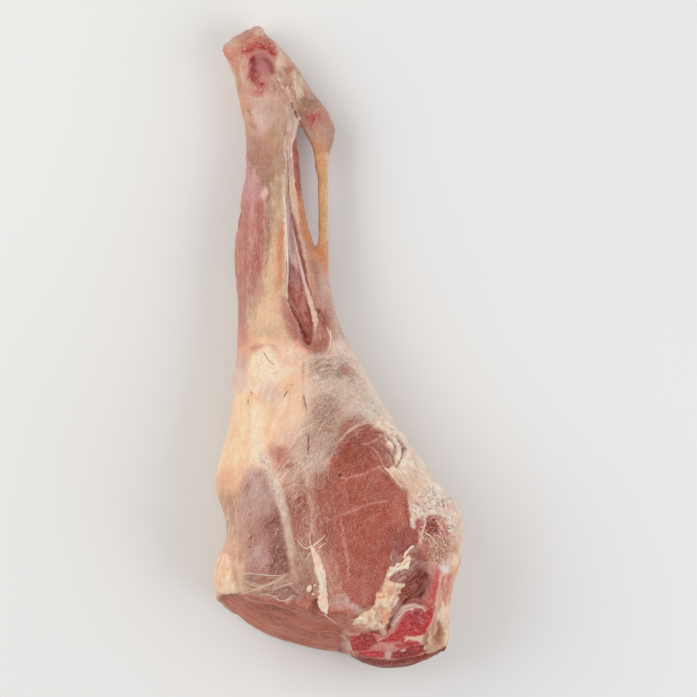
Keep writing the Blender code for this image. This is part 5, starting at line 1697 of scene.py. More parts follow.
def flesh_material():
    """Raw meat: fine fibres where it is lean, a web of threads on thin skin, pores in bone."""
    shader = Shader("raw_flesh")
    tint = shader.colour("tint")
    grain = shader.vector("grain")
    parts = shader.add("ShaderNodeSeparateXYZ", {0: shader.vector("nature")})
    lean, spongy, fibrous = parts.outputs
    fibres = shader.noise(grain, (4.0, 0.8, 0.8), 3.0, 0.65)
    speckle = shader.noise(grain, (1.4, 0.8, 0.8), 3.0, 0.7)
    mottle = shader.noise(grain, (8.0, 6.0, 6.0), 4.0, 0.6)
    fine = shader.noise(grain, (1.6, 1.1, 1.1), 3.0, 0.6)
    flecks = shader.ramp(shader.noise(grain, (1.2, 0.8, 0.8), 2.0), 0.62, 0.74)
    painted_glints = shader.ramp(shader.noise(grain, (1.2, 0.7, 0.7), 3.0, 0.7), 0.66, 0.76)
    dust = shader.noise(grain, (1.0, 0.7, 0.7), 2.0, 0.6)
    pores = shader.cells(grain, 1.7)
    web = shader.thin_lines(shader.noise(grain, (4.2, 1.6, 1.6), 3.0, 0.65), 0.05)

    dark_fibres = shader.times(shader.ramp(fibres, 0.60, 0.36),
                               shader.plus(shader.times(lean, 0.16), 0.14))
    colour = shader.mix(dark_fibres, tint, solid((160, 90, 76)), "MULTIPLY")
    light_fibres = shader.times(shader.ramp(fibres, 0.54, 0.74),
                                shader.plus(shader.times(lean, 0.04), 0.10))
    colour = shader.mix(light_fibres, colour, solid((230, 172, 148)))
    dark_specks = shader.times(shader.ramp(speckle, 0.47, 0.30),
                               shader.plus(shader.times(lean, 0.24), 0.24))
    colour = shader.mix(dark_specks, colour, solid((150, 84, 72)), "MULTIPLY")
    light_specks = shader.times(shader.ramp(speckle, 0.55, 0.72),
                                shader.plus(shader.times(lean, -0.04), 0.20))
    colour = shader.mix(light_specks, colour, solid((250, 214, 192)))
    colour = shader.mix(shader.times(flecks, shader.times(lean, 0.30)), colour,
                        solid((226, 166, 144)))
    colour = shader.mix(shader.times(web, shader.times(fibrous, 0.60)), colour,
                        solid((248, 226, 208)))
    gaps = shader.times(shader.ramp(fibres, 0.46, 0.28), shader.times(fibrous, 0.40))
    colour = shader.mix(gaps, colour, solid((166, 118, 98)), "MULTIPLY")
    # Painted highlights: sparse near-white glints mixed into the colour everywhere.
    colour = shader.mix(shader.times(painted_glints, 0.40), colour, solid((255, 238, 224)))
    coarse = shader.plus(shader.plus(shader.times(lean, 0.5), shader.times(fibrous, 0.6)), 0.5)
    colour = shader.mix(shader.times(coarse, shader.ramp(dust, 0.50, 0.34, 0.0, 0.36)), colour,
                        solid((176, 124, 108)), "MULTIPLY")
    colour = shader.mix(shader.times(coarse, shader.ramp(dust, 0.54, 0.70, 0.0, 0.26)), colour,
                        solid((255, 230, 212)))
    colour = shader.mix(shader.ramp(mottle, 0.42, 0.70, 0.0, 0.12), colour,
                        solid((220, 160, 132)), "MULTIPLY")
    colour = shader.mix(shader.ramp(mottle, 0.55, 0.25, 0.0, 0.08), colour,
                        solid((250, 236, 220)))
    colour = shader.mix(shader.times(spongy, shader.ramp(pores, 0.45, 0.15, 0.0, 0.65)), colour,
                        solid((150, 34, 36)), "MULTIPLY")
    colour = shader.mix(shader.times(spongy, shader.ramp(pores, 0.55, 0.80, 0.0, 0.45)), colour,
                        solid((244, 200, 184)))

    height = shader.plus(shader.times(fine, 0.44), shader.times(mottle, 0.30))
    height = shader.plus(height, shader.times(shader.times(fibres, lean), 0.40))
    height = shader.plus(height, shader.times(shader.times(web, fibrous), 0.20))
    height = shader.plus(height, shader.times(shader.times(pores, spongy), 0.60))
    roughness = shader.ramp(mottle, 0.3, 0.7, 0.36, 0.50)
    return shader.surface(colour, roughness, height, Subsurface_Weight=0.12,
                          Subsurface_Radius=(1.0, 0.42, 0.26), Subsurface_Scale=0.0020,
                          Specular_IOR_Level=0.25, Coat_Weight=0.05, Coat_Roughness=0.25,
                          IOR=1.42)


def fat_material():
    """Loose raw fat: waxy, softly lumpy, a little translucent."""
    shader = Shader("loose_fat")
    tint = shader.colour("tint")
    grain = shader.vector("grain")
    lumps = shader.noise(grain, (4.5, 3.0, 3.0), 3.0)
    fine = shader.noise(grain, (1.5, 1.1, 1.1), 3.0, 0.65)
    colour = shader.mix(shader.ramp(lumps, 0.42, 0.70, 0.0, 0.30), tint,
                        solid((226, 160, 130)), "MULTIPLY")
    colour = shader.mix(shader.ramp(fine, 0.46, 0.28, 0.0, 0.45), colour,
                        solid((206, 140, 110)), "MULTIPLY")
    colour = shader.mix(shader.ramp(fine, 0.54, 0.72, 0.0, 0.40), colour,
                        solid((255, 238, 218)))
    height = shader.plus(shader.times(lumps, 0.6), shader.times(fine, 0.5))
    roughness = shader.ramp(lumps, 0.3, 0.7, 0.36, 0.50)
    return shader.surface(colour, roughness, height, Subsurface_Weight=0.2,
                          Subsurface_Radius=(1.0, 0.55, 0.38), Subsurface_Scale=0.003,
                          Specular_IOR_Level=0.4, Coat_Weight=0.15, Coat_Roughness=0.25,
                          IOR=1.45)


def sinew_material():
    """Sinew and thin skin: silvery fibres with a wet shine."""
    shader = Shader("sinew")
    tint = shader.colour("tint")
    grain = shader.vector("grain")
    fibres = shader.noise(grain, (9.0, 0.7, 0.7), 3.0, 0.6)
    colour = shader.mix(shader.ramp(fibres, 0.48, 0.72, 0.0, 0.35), tint,
                        solid((214, 150, 126)), "MULTIPLY")
    height = shader.times(fibres, 0.35)
    roughness = shader.ramp(fibres, 0.3, 0.7, 0.28, 0.42)
    return shader.surface(colour, roughness, height, Subsurface_Weight=0.15,
                          Subsurface_Radius=(1.0, 0.6, 0.45), Subsurface_Scale=0.002,
                          Coat_Weight=0.35, Coat_Roughness=0.2, IOR=1.42)


def bone_material():
    """Sawn bone: red spongy marrow with pale struts, and smooth gristle."""
    shader = Shader("sawn_bone")
    tint = shader.colour("tint")
    grain = shader.vector("grain")
    parts = shader.add("ShaderNodeSeparateXYZ", {0: shader.vector("nature")})
    spongy = parts.outputs[1]
    pores = shader.cells(grain, 1.9)
    struts = shader.ramp(pores, 0.56, 0.80)
    blood = shader.noise(grain, (3.6, 3.6, 3.6), 3.0, 0.6)
    fine = shader.noise(grain, (1.1, 1.1, 1.1), 3.0, 0.65)
    colour = shader.mix(shader.times(spongy, shader.ramp(pores, 0.42, 0.10, 0.0, 0.60)), tint,
                        solid((150, 30, 34)), "MULTIPLY")
    colour = shader.mix(shader.times(spongy, shader.times(struts, 0.50)), colour,
                        solid((226, 110, 108)))
    colour = shader.mix(shader.times(spongy, shader.ramp(blood, 0.50, 0.66, 0.0, 0.60)), colour,
                        solid((150, 50, 56)), "MULTIPLY")
    colour = shader.mix(shader.times(spongy, shader.ramp(fine, 0.60, 0.74, 0.0, 0.45)), colour,
                        solid((246, 180, 168)))
    colour = shader.mix(shader.ramp(fine, 0.46, 0.30, 0.0, 0.35), colour,
                        solid((200, 130, 114)), "MULTIPLY")
    height = shader.plus(shader.times(shader.times(pores, spongy), 0.75),
                         shader.times(fine, 0.35))
    roughness = shader.ramp(blood, 0.3, 0.7, 0.30, 0.50)
    return shader.surface(colour, roughness, height, Subsurface_Weight=0.08,
                          Subsurface_Radius=(1.0, 0.3, 0.2), Subsurface_Scale=0.002,
                          Specular_IOR_Level=0.4, Coat_Weight=0.15, Coat_Roughness=0.22,
                          IOR=1.45)


def floor_material():
    """The pale matt table that the leg lies on."""
    shader = Shader("pale_table")
    places = shader.add("ShaderNodeTexCoord", {}).outputs["Object"]
    cloud = shader.noise(places, (0.5, 0.5, 0.5), 3.0)
    colour = shader.mix(cloud, solid((233, 233, 232)), solid((238, 238, 237)))
    return shader.surface(colour, shader.ramp(cloud, 0.0, 1.0, 0.70, 0.80),
                          shader.times(cloud, 0.05))


# ---------------------------------------------------------------------------
# The skin and the bones
# ---------------------------------------------------------------------------
def keep_outer_shell(mesh):
    """Drop the closed pockets that the remesh leaves inside."""
    bm = bmesh.new()
    bm.from_mesh(mesh)
    top = max(bm.verts, key=lambda vertex: vertex.co.z)
    kept = {top}
    waiting = [top]
    while waiting:
        for edge in waiting.pop().link_edges:
            for vertex in edge.verts:
                if vertex not in kept:
                    kept.add(vertex)
                    waiting.append(vertex)
    inner = [vertex for vertex in bm.verts if vertex not in kept]
    bmesh.ops.delete(bm, geom=inner, context="VERTS")
    bm.to_mesh(mesh)
    bm.free()


def painted(obj, painter, base, material):
    """Paint a mesh, raise it by what the painter found, and dress it."""
    mesh = obj.data
    points = points_of(mesh)
    normals = vectors(mesh.vertices, "normal")
    canvas = Canvas(to_leg(points), normals, base)
    painter(canvas)
    points = points + normals * (canvas.rise * MM)[:, None]
    points[:, 2] = np.maximum(points[:, 2], 0.0)
    set_points(mesh, points)
    store(mesh, canvas)
    store_grain(mesh, canvas)
    dress(obj, material)


def dress(obj, material):
    """Give a piece its material and smooth shading."""
    obj.data.materials.clear()
    obj.data.materials.append(material)
    for polygon in obj.data.polygons:
        polygon.use_smooth = True


def make_bone(name, node, painter, base, material):
    """A bared bone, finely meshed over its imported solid."""
    bone = remeshed(name, [node], BONE_VOXEL)
    set_points(bone.data, smoothed(bone.data, points_of(bone.data), BONE_ROUNDS))
    painted(bone, painter, base, material)
    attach(bone, "root")
    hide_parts(node)
    return bone


def ray_tree(mesh):
    """A mesh's faces, ready to be asked for the nearest one or the one under a place."""
    return BVHTree.FromPolygons([v.co for v in mesh.vertices], [p.vertices for p in mesh.polygons])


def sink_under(canvas, bone):
    """Let the meat dip under a bone piece, but close over the bone's rim."""
    mesh = bone.data
    tree = ray_tree(mesh)
    points = to_frame(canvas.places)
    low = points_of(mesh).min(axis=0)
    high = points_of(mesh).max(axis=0) + BONE_SEAM * MM
    near = np.flatnonzero(np.all((points > low) & (points < high), axis=1))
    turns = 2 * math.pi * np.arange(SEAM_RAYS) / SEAM_RAYS
    ring = BONE_SEAM * MM * np.column_stack((np.cos(turns), np.sin(turns)))
    for index in near:
        x, y, z = points[index]
        if tree.find_nearest(Vector(points[index]))[3] > BONE_SEAM * MM:
            continue
        above = z + BONE_CLEARANCE * MM
        if all(tree.ray_cast(Vector((x + dx, y + dy, above)), DOWN)[0] for dx, dy in ring):
            canvas.rise[index] -= BONE_SINK


def fine_places():
    """The plan areas whose small forms need the finest mesh."""
    return (
        Patch(
            "-47,213 -36,207 -26,185 -10.5,171 -12,158 -26,152.5 -37.5,154 -41.5,173.5 -48.5,194.5", 0.5),
        Patch(
            "-37.5,154 -27.5,158 -22,117.5 -17.5,89.5 -12,60 -3.5,19.5 -2.5,-3 -26,-8.5 -37.5,1.5 "
            "-41,33.5 -37.5,89.5", 0.5),
        Patch(
            "25.5,-50.5 38.5,-50.5 52.5,-68.5 70.5,-92.5 84.5,-120.5 86,-157 72,-180.5 49.5,-180.5 "
            "38.5,-165 49.5,-145.5 51,-120.5 46.5,-101 32.5,-87 34,-68.5", 0.5),
    )


def make_skin(bones):
    """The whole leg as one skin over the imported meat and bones."""
    skin = remeshed("leg_skin", ["leg_meat", "hip_bone", "hock_bone"], SKIN_VOXEL)
    mesh = skin.data
    keep_outer_shell(mesh)
    set_points(mesh, smoothed(mesh, points_of(mesh), SKIN_ROUNDS))
    _, normals = faces_of(mesh)
    halve_quads(mesh, normals[:, 2] > UPPER_NORMAL)
    set_points(mesh, smoothed(mesh, points_of(mesh), UPPER_ROUNDS))
    middles, normals = faces_of(mesh)
    plan = to_leg(middles)
    fine = np.zeros(len(plan), dtype=bool)
    for place in fine_places():
        fine |= place.depth(plan[:, 0], plan[:, 1]) > 0
    halve_quads(mesh, fine & (normals[:, 2] > FINE_NORMAL))
    set_points(mesh, smoothed(mesh, points_of(mesh), FINE_ROUNDS))

    def painter(canvas):
        paint_leg(canvas)
        for bone in bones:
            sink_under(canvas, bone)

    painted(skin, painter, BEIGE, flesh_material())
    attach(skin, "root")
    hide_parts("leg_meat")
    return skin


# ---------------------------------------------------------------------------
# Loose pieces that lie on the skin
# ---------------------------------------------------------------------------
HIP_FAT_OUTLINE = (
    "44,-162.5 47.5,-164 45.5,-168 42.5,-171 42,-176.5 39.5,-180 37.5,-183.5 36.5,-187 36.5,-190.5 "
    "34,-194 30,-196 21.5,-196 16,-193 10.5,-192.5 10.5,-189 14.5,-187 17.5,-183.5 21.5,-182 "
    "25.5,-178.5 27,-173.5 27,-170 31.5,-168 32.5,-164 36,-161.5")
FLAP_OUTLINE = (
    "32,-165 33.5,-159.5 35.5,-154.5 39.5,-150.5 44.5,-148.5 46.5,-145.5 50,-144 51.5,-147 49.5,-150 "
    "45.5,-153.5 41,-156 37.5,-159.5 35.5,-164.5")


class Ground:
    """The skin's surface, asked from straight above."""

    def __init__(self, skin):
        self.tree = ray_tree(skin.data)

    def under(self, x, y):
        """The skin's point and normal at a place on the plan, both on the leg's scale."""
        start = Vector(to_frame(np.array([x, y, ABOVE_LEG])))
        point, normal, _, _ = self.tree.ray_cast(start, DOWN)
        if point is None:
            start = Vector(to_frame(np.array([x, y, HALF_WAY_UP])))
            point, normal, _, _ = self.tree.find_nearest(start)
        return to_leg(np.array(point)), np.array(normal)


class Pile:
    """Closed shapes gathered into one piece, with their colours."""

    def __init__(self):
        self.points = []
        self.faces = []
        self.tints = []
        self.rolled = []

    def add(self, points, faces, tint, rolled):
        """Add a shape; tint is one sRGB colour or a linear colour for each point."""
        start = sum(len(part) for part in self.points)
        if np.ndim(tint) == 1:
            tint = np.tile(linear(tint), (len(points), 1))
        self.points.append(points)
        self.faces.extend([tuple(start + i for i in face) for face in faces])
        self.tints.append(tint)
        self.rolled.append(rolled)

    def make(self, name, material):
        """One piece of all the shapes, belonging to the meat."""
        mesh = bpy.data.meshes.new(name)
        places = np.vstack(self.points)
        mesh.from_pydata([tuple(p) for p in to_frame(places)], [], self.faces)
        mesh.update()
        obj = bpy.data.objects.new(name, mesh)
        bpy.context.scene.collection.objects.link(obj)
        canvas = Canvas(places, vectors(mesh.vertices, "normal"), BEIGE)
        canvas.tint = np.vstack(self.tints)
        canvas.tint *= 1 + FAT_MOTTLE * noise(places, 3.0, 7, 3)[:, None]
        store(mesh, canvas)
        rolled = mesh.attributes.new("grain", "FLOAT_VECTOR", "POINT")
        rolled.data.foreach_set("vector", np.vstack(self.rolled).ravel())
        dress(obj, material)
        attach(obj, "root")
        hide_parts("leg_meat")
        return obj


def steadied(rows, rounds):
    """Rows averaged with their neighbours along a path."""
    rows = np.array(rows)
    for _ in range(rounds):
        padded = np.vstack((rows[:1], rows, rows[-1:]))
        rows = (padded[:-2] + 2 * padded[1:-1] + padded[2:]) / 4
    return rows


def lay_strand(pile, ground, points, widths, flatness, tint, lift=0.3, lumps=0.12, taper=0.12,
               seed=1):
    """A soft cord along a curve on the plan, half sunk in the skin under it.

    widths are its widths at even places along the curve, and flatness is its height over
    its width."""
    widths = np.atleast_1d(widths).astype(float)
    curve = curve_through(points, step=0.9 if widths.max() < 2 else 0.6)
    count = len(curve)
    share = np.linspace(0, 1, count)
    found = [ground.under(x, y) for x, y in curve]
    centres = steadied([point for point, _ in found], 3)
    normals = steadied([normal for _, normal in found], 4)
    normals = normals / np.linalg.norm(normals, axis=1)[:, None]
    along = np.gradient(centres, axis=0)
    sides = np.cross(along, normals)
    sides /= np.linalg.norm(sides, axis=1)[:, None]
    reached = np.concatenate(([0.0], np.cumsum(np.linalg.norm(np.diff(centres, axis=0), axis=1))))
    width = np.interp(share, np.linspace(0, 1, len(widths)), widths)
    swell = 1 + lumps * noise(np.column_stack((reached / width.mean() / 0.8, 0 * share, 0 * share)),
                              1.0, seed, 2)
    narrow = np.clip(np.minimum(share, 1 - share) / taper, 0.02, 1) ** 0.5
    size = width * swell * narrow
    tall = flatness * size
    raised = lift * flatness * width * narrow
    ring = max(5, min(20, int(width.max() * 3)))
    turns = 2 * math.pi * np.arange(ring) / ring
    ragged = noise(np.column_stack((np.repeat(reached, ring) / 1.8,
                                    np.tile(2 * np.cos(turns), count),
                                    np.tile(2 * np.sin(turns), count))), 1.0, seed + 50, 3)
    ragged = 1 + lumps * ragged.reshape(count, ring)
    wide = 0.5 * size[:, None] * np.cos(turns) * ragged
    high = 0.5 * tall[:, None] * np.sin(turns) * ragged
    places = (centres[:, None] + sides[:, None] * wide[:, :, None]
              + normals[:, None] * (raised[:, None] + high)[:, :, None])
    rolled = np.stack((np.repeat(reached[:, None], ring, axis=1), wide, high), axis=2)
    faces = []
    for i in range(count - 1):
        for k in range(ring):
            a = i * ring + k
            b = i * ring + (k + 1) % ring
            faces.append((a, b, b + ring, a + ring))
    faces.append(tuple(reversed(range(ring))))
    faces.append(tuple((count - 1) * ring + k for k in range(ring)))
    pile.add(places.reshape(-1, 3), faces, tint, rolled.reshape(-1, 3))


def lay_pillow(pile, ground, outline, height, painter, edge, lumps, seed):
    """A soft pad inside an outline on the plan, following the skin under it.

    painter gives the pad's colours and extra heights from its places."""
    shape = Patch(outline, 0.5)
    xs = np.arange(shape.low[0], shape.high[0] + PILLOW_STEP, PILLOW_STEP)
    ys = np.arange(shape.low[1], shape.high[1] + PILLOW_STEP, PILLOW_STEP)
    grid_x, grid_y = np.meshgrid(xs, ys, indexing="ij")
    flat = np.column_stack((grid_x.ravel(), grid_y.ravel(), np.zeros(grid_x.size)))
    depth = shape.depth(flat[:, 0] + 1.3 * noise(flat, 3.0, seed, 3),
                        flat[:, 1] + 1.3 * noise(flat, 3.0, seed + 3, 3))
    depth = depth.reshape(grid_x.shape)
    inside = depth > -0.3
    rise = height * np.sqrt(ease((depth + 0.3) / edge))
    rise += lumps * (noise(flat, 5.0, seed + 7, 3) + 0.35 * noise(flat, 1.6, seed + 9, 2)).reshape(
        grid_x.shape) * ease((depth + 0.3) / 1.5)
    number = {}
    tops = []
    skins = []
    for i, j in zip(*np.nonzero(inside)):
        point, _ = ground.under(xs[i], ys[j])
        number[i, j] = len(tops)
        tops.append(point + (0, 0, rise[i, j]))
        skins.append(point)
    tops = np.array(tops)
    skins = np.array(skins)
    tints, extra = painter(tops)
    tops[:, 2] += extra
    places = np.vstack((tops, np.minimum(skins, tops) - (0, 0, PILLOW_SUNK)))
    tints = np.vstack((tints, tints))
    rolled = np.vstack((skins, skins))
    count = len(tops)
    faces = []
    edges = set()
    for i, j in number:
        corners = [number.get(key) for key in ((i, j), (i + 1, j), (i + 1, j + 1), (i, j + 1))]
        if None in corners:
            continue
        faces.append(tuple(corners))
        faces.append(tuple(count + c for c in reversed(corners)))
        edges.update(zip(corners, corners[1:] + corners[:1]))
    for start, end in sorted(edges):
        if (end, start) not in edges:
            faces.append((end, start, count + start, count + end))
    used = sorted({index for face in faces for index in face})
    renumbered = {old: new for new, old in enumerate(used)}
    pile.add(places[used], [tuple(renumbered[i] for i in face) for face in faces],
             tints[used], rolled[used])


def make_fat_cord(ground):
    """The cord of fat down the groove beside the lean, with a cut vessel in it."""
    pile = Pile()
    pale = (246, 217, 198)
    lay_strand(
        pile, ground, "-18.5,-136 -16.5,-140.5 -14,-147 -12,-154 -10.5,-162.5 -10,-171 -9.5,-178 "
        "-7,-185", (2.6, 4.4, 5.4, 5.8, 6.4, 6.2, 6.0, 3.2), 0.60, pale, lift=0.15, lumps=0.30,
        taper=0.08, seed=3)
    lay_strand(
        pile, ground, "-13.5,-150.5 -11.5,-157.5 -10,-165 -8.5,-173", (2.0, 2.6, 2.2, 1.8), 0.8,
        (252, 234, 216), lift=1.3, lumps=0.4, seed=11)
    lay_strand(
        pile, ground, "-14.5,-155.5 -13.5,-162.5 -12.5,-169.5 -11,-178.5", (1.4, 2.0, 1.8, 1.4), 0.7,
        (206, 158, 138), lift=1.0, lumps=0.4, seed=12)
    for points, widths in (
        ("-17.5,-136.5 -21,-139.5 -25.5,-136 -28,-133", (1.4, 1.2, 0.7)),
        ("-17.5,-138.5 -14,-135 -10.5,-132.5 -8,-129", (1.8, 1.3, 0.7)),
        ("-17,-141.5 -20,-144 -22,-148.5", (1.2, 0.9, 0.5)),
        ("-18.5,-137 -19,-131.5 -20,-126", (1.2, 0.9, 0.5)),
        ("-13.5,-140 -10,-136.5 -7,-135", (1.2, 0.9, 0.6)),
        ("-16.5,-143.5 -13,-140.5 -10,-140.5", (1.4, 1.0, 0.6)),
    ):
        lay_strand(pile, ground, points, widths, 0.7, (238, 208, 190), lift=0.5, lumps=0.3, seed=5)
    lay_strand(
        pile, ground, "-20.5,-165.5 -19,-166.5 -17,-167", (4.6, 5.2, 4.4), 0.75, (248, 218, 200),
        lift=0.4, lumps=0.25, taper=0.35, seed=4)
    lay_strand(
        pile, ground, "-17.5,-169.5 -16.5,-171 -15,-170.5", (2.0, 2.6, 2.2), 0.8, (246, 214, 196),
        lift=0.4, lumps=0.25, taper=0.35, seed=13)
    lay_strand(
        pile, ground, "-17,-166 -15,-164 -13.5,-164.5", (1.8, 1.4, 1.8), 0.8, pale, lift=0.5, seed=14)
    return pile.make("fat_cord", fat_material())


def knob(canvas, outline, count, size, colour, seed):
    """Small raised lumps strewn over a pad of fat, painted in the given paler colour as their highlight.
    """
    random = np.random.default_rng(seed)
    shape = Patch(outline, 1.0)
    for _ in range(count):
        place = random.uniform(shape.low, shape.high)
        radii = (size * random.uniform(0.6, 1.4), size * random.uniform(0.5, 0.9))
        canvas.blob(
            place, radii, colour, 0.6, turn=random.uniform(0, 180), rise=random.uniform(0.3, 1.0),
            soft=0.7)


def hip_fat_colours(places):
    """Yellowish cream fat with an orange lump; its pits and creases are painted darker as their shade,
    and its small lumps paler as their highlight.
    """
    canvas = Canvas(places, np.tile((0.0, 0.0, 1.0), (len(places), 1)), (232, 190, 160))
    canvas.lay(Blob((0, 0), (400, 400)), (202, 150, 124), 0.6, broken=(5, 1.2, 163))
    # Painted shade: the first blob is a darker pit; the second is the pad's orange-brown lower edge.
    canvas.blobs(
        (37.5, -184, 2.6, 4.0, (176, 128, 102), 0.7, -20, 0.9),
        (28, -194.5, 6, 2.4, (190, 130, 106), 0.8, 0, 0.9))
    # Small raised lumps, painted paler as their painted highlight.
    knob(canvas, HIP_FAT_OUTLINE, 90, 2.2, (250, 222, 192), 165)
    knob(canvas, HIP_FAT_OUTLINE, 60, 1.4, (255, 236, 212), 166)
    canvas.blob((34, -187.5), (3.4, 4.4), (232, 150, 112), 0.8, rise=0.8)
    # Painted shade: dark creases, also sunk.
    canvas.band(
        "43,-165 40.5,-171.5 37.5,-178.5", 1.6, (172, 142, 118), 0.8, rise=-1.4, broken=(2.5, 0.8, 164))
    canvas.band(
        "24.5,-180.5 28.5,-186 31.5,-193", 1.2, (178, 126, 100), 0.7, rise=-1.0, broken=(3, 0.5, 162))
    canvas.band("13,-192 21.5,-196 30,-196", 1.4, (200, 148, 118), 0.6)
    return canvas.tint, canvas.rise


def flap_colours(places):
    """Cream fat with small raised lumps painted paler as their painted highlight; the pale strand along
    its crest is laid in make_hip_fat.
    """
    canvas = Canvas(places, np.tile((0.0, 0.0, 1.0), (len(places), 1)), (244, 214, 188))
    canvas.lay(Blob((0, 0), (400, 400)), (214, 162, 136), 0.6, broken=(3, 1.2, 171))
    # Small raised lumps, painted paler as their painted highlight.
    knob(canvas, FLAP_OUTLINE, 50, 1.3, (255, 238, 218), 172)
    return canvas.tint, canvas.rise


def make_hip_fat(ground):
    """The pad of fat in front of the sawn hip bone, and the rolled flap beside it."""
    pile = Pile()
    lay_pillow(pile, ground, HIP_FAT_OUTLINE, 2.4, hip_fat_colours, edge=3.0, lumps=1.3, seed=5)
    lay_pillow(pile, ground, FLAP_OUTLINE, 2.2, flap_colours, edge=1.6, lumps=0.9, seed=6)
    lay_strand(
        pile, ground, "34,-160.5 37,-155.5 42,-152 46.5,-150 50,-146.5", (1.8, 2.4, 2.8, 3.6, 3.0), 0.8,
        (252, 232, 208), lift=0.9, lumps=0.4, seed=7)
    lay_strand(
        pile, ground, "45.5,-146.5 48,-141.5 51.5,-138 53.5,-136.5", (1.2, 2.2, 2.6, 1.6), 0.8,
        (238, 212, 190), lift=0.6, lumps=0.35, seed=8)
    lay_strand(
        pile, ground, "37.5,-142 37,-145.5 39,-149", (0.6, 0.9, 0.6), 0.8, (204, 168, 158), lift=0.3,
        lumps=0.3, seed=9)
    return pile.make("hip_fat", fat_material())


def lay_routes(pile, ground, routes, seed, **more):
    """Several strands: points, widths and colour of each."""
    for number, (points, widths, tint) in enumerate(routes):
        lay_strand(pile, ground, points, widths, 0.8, tint, seed=seed + number, **more)


def scatter_fibres(pile, ground, shape, count, angle, spread, length, width, tint, seed,
                   curl=0.15, **more):
    """Short fibres strewn over a shape, each a little bent."""
    random = np.random.default_rng(seed)
    placed = 0
    while placed < count:
        x, y = random.uniform(shape.low, shape.high)
        turn = math.radians(random.normal(angle, spread))
        span = length * random.uniform(0.5, 1.3)
        bend = random.normal(0, curl) * span
        shade = random.uniform(0.90, 1.04)
        if random.uniform() > shape.share(np.array([x]), np.array([y]))[0]:
            continue
        placed += 1
        along = np.array([math.cos(turn), math.sin(turn)]) * span / 2
        side = np.array([-math.sin(turn), math.cos(turn)]) * bend
        middle = np.array([x, y])
        points = [middle - along, middle - along / 3 + side, middle + along / 3 - side * 0.4,
                  middle + along]
        colour = [min(255, part * shade) for part in tint]
        lay_strand(
            pile, ground, points, width * random.uniform(0.7, 1.2), 0.6, colour, seed=seed + placed,
            **more)


def make_shreds(ground):
    """Torn threads of fat across the bare place in the back fat."""
    pile = Pile()
    cream = (240, 208, 192)
    lay_routes(
        pile, ground,
        (
            ("61.5,-118.5 60.5,-122.5 59.5,-126.5 58.5,-130 60.5,-133.5", (1.2, 1.4, 1.4, 1.2, 0.8),
             cream),
            ("59.5,-127.5 63,-129.5 65.5,-131.5 68.5,-135", (0.9, 1.2, 1.0, 0.8), cream),
            ("65.5,-130 69,-130 72.5,-133 74.5,-136.5", (0.8, 1.0, 1.0, 0.7), (232, 190, 174)),
            ("67.5,-118.5 70.5,-122.5 73.5,-126.5 75.5,-131.5 76,-136.5", (1.0, 1.3, 1.2, 1.0, 0.7),
             cream),
            ("63,-119.5 65.5,-118 69,-117.5", (0.8, 1.1, 0.8), (232, 190, 174)),
            ("65.5,-132.5 67,-135 70,-136.5 70.5,-140", (0.7, 1.1, 1.0, 0.7), cream),
            ("70,-126 72,-129.5 74,-133.5", (0.6, 0.9, 0.6), (236, 196, 180)),
            ("62,-130 63.5,-134.5 65.5,-138.5", (0.6, 0.9, 0.6), (226, 178, 160)),
            ("70.5,-138 73.5,-140.5 75.5,-144", (0.7, 0.9, 0.6), (236, 200, 176)),
            ("56,-125.5 57,-129 58,-132.5", (0.7, 0.9, 0.6), (226, 182, 168)),
        ),
        10, lift=0.4, lumps=0.4)
    crumbs = Patch(
        "52.5,-106.5 58,-99.5 67.5,-96.5 74.5,-101 81.5,-110.5 84.5,-122 80.5,-127.5 76,-123 70.5,-116 "
        "63.5,-115 53.5,-116", 1.5)
    scatter_fibres(
        pile, ground, crumbs, 64, -48, 28, 3.2, 2.0, (250, 228, 210), 184, curl=0.08, lift=0.0,
        lumps=0.5)
    torn = Patch("58,-120.5 65,-117.5 72,-122 77,-133 75.5,-144 69,-147 60.5,-141.5", 2.0)
    scatter_fibres(
        pile, ground, torn, 26, 60, 35, 3.2, 0.55, (236, 198, 184), 181, curl=0.15, lift=0.4, lumps=0.4)
    scatter_fibres(
        pile, ground, torn, 22, -45, 30, 2.6, 0.7, (222, 176, 158), 182, curl=0.2, lift=0.3, lumps=0.5)
    scatter_fibres(
        pile, ground, Blob((70.5, -140), (6.5, 7.0)), 40, -45, 40, 1.8, 0.9, (232, 196, 170), 183,
        curl=0.1, lift=0.3, lumps=0.5)
    return pile.make("fat_shreds", fat_material())


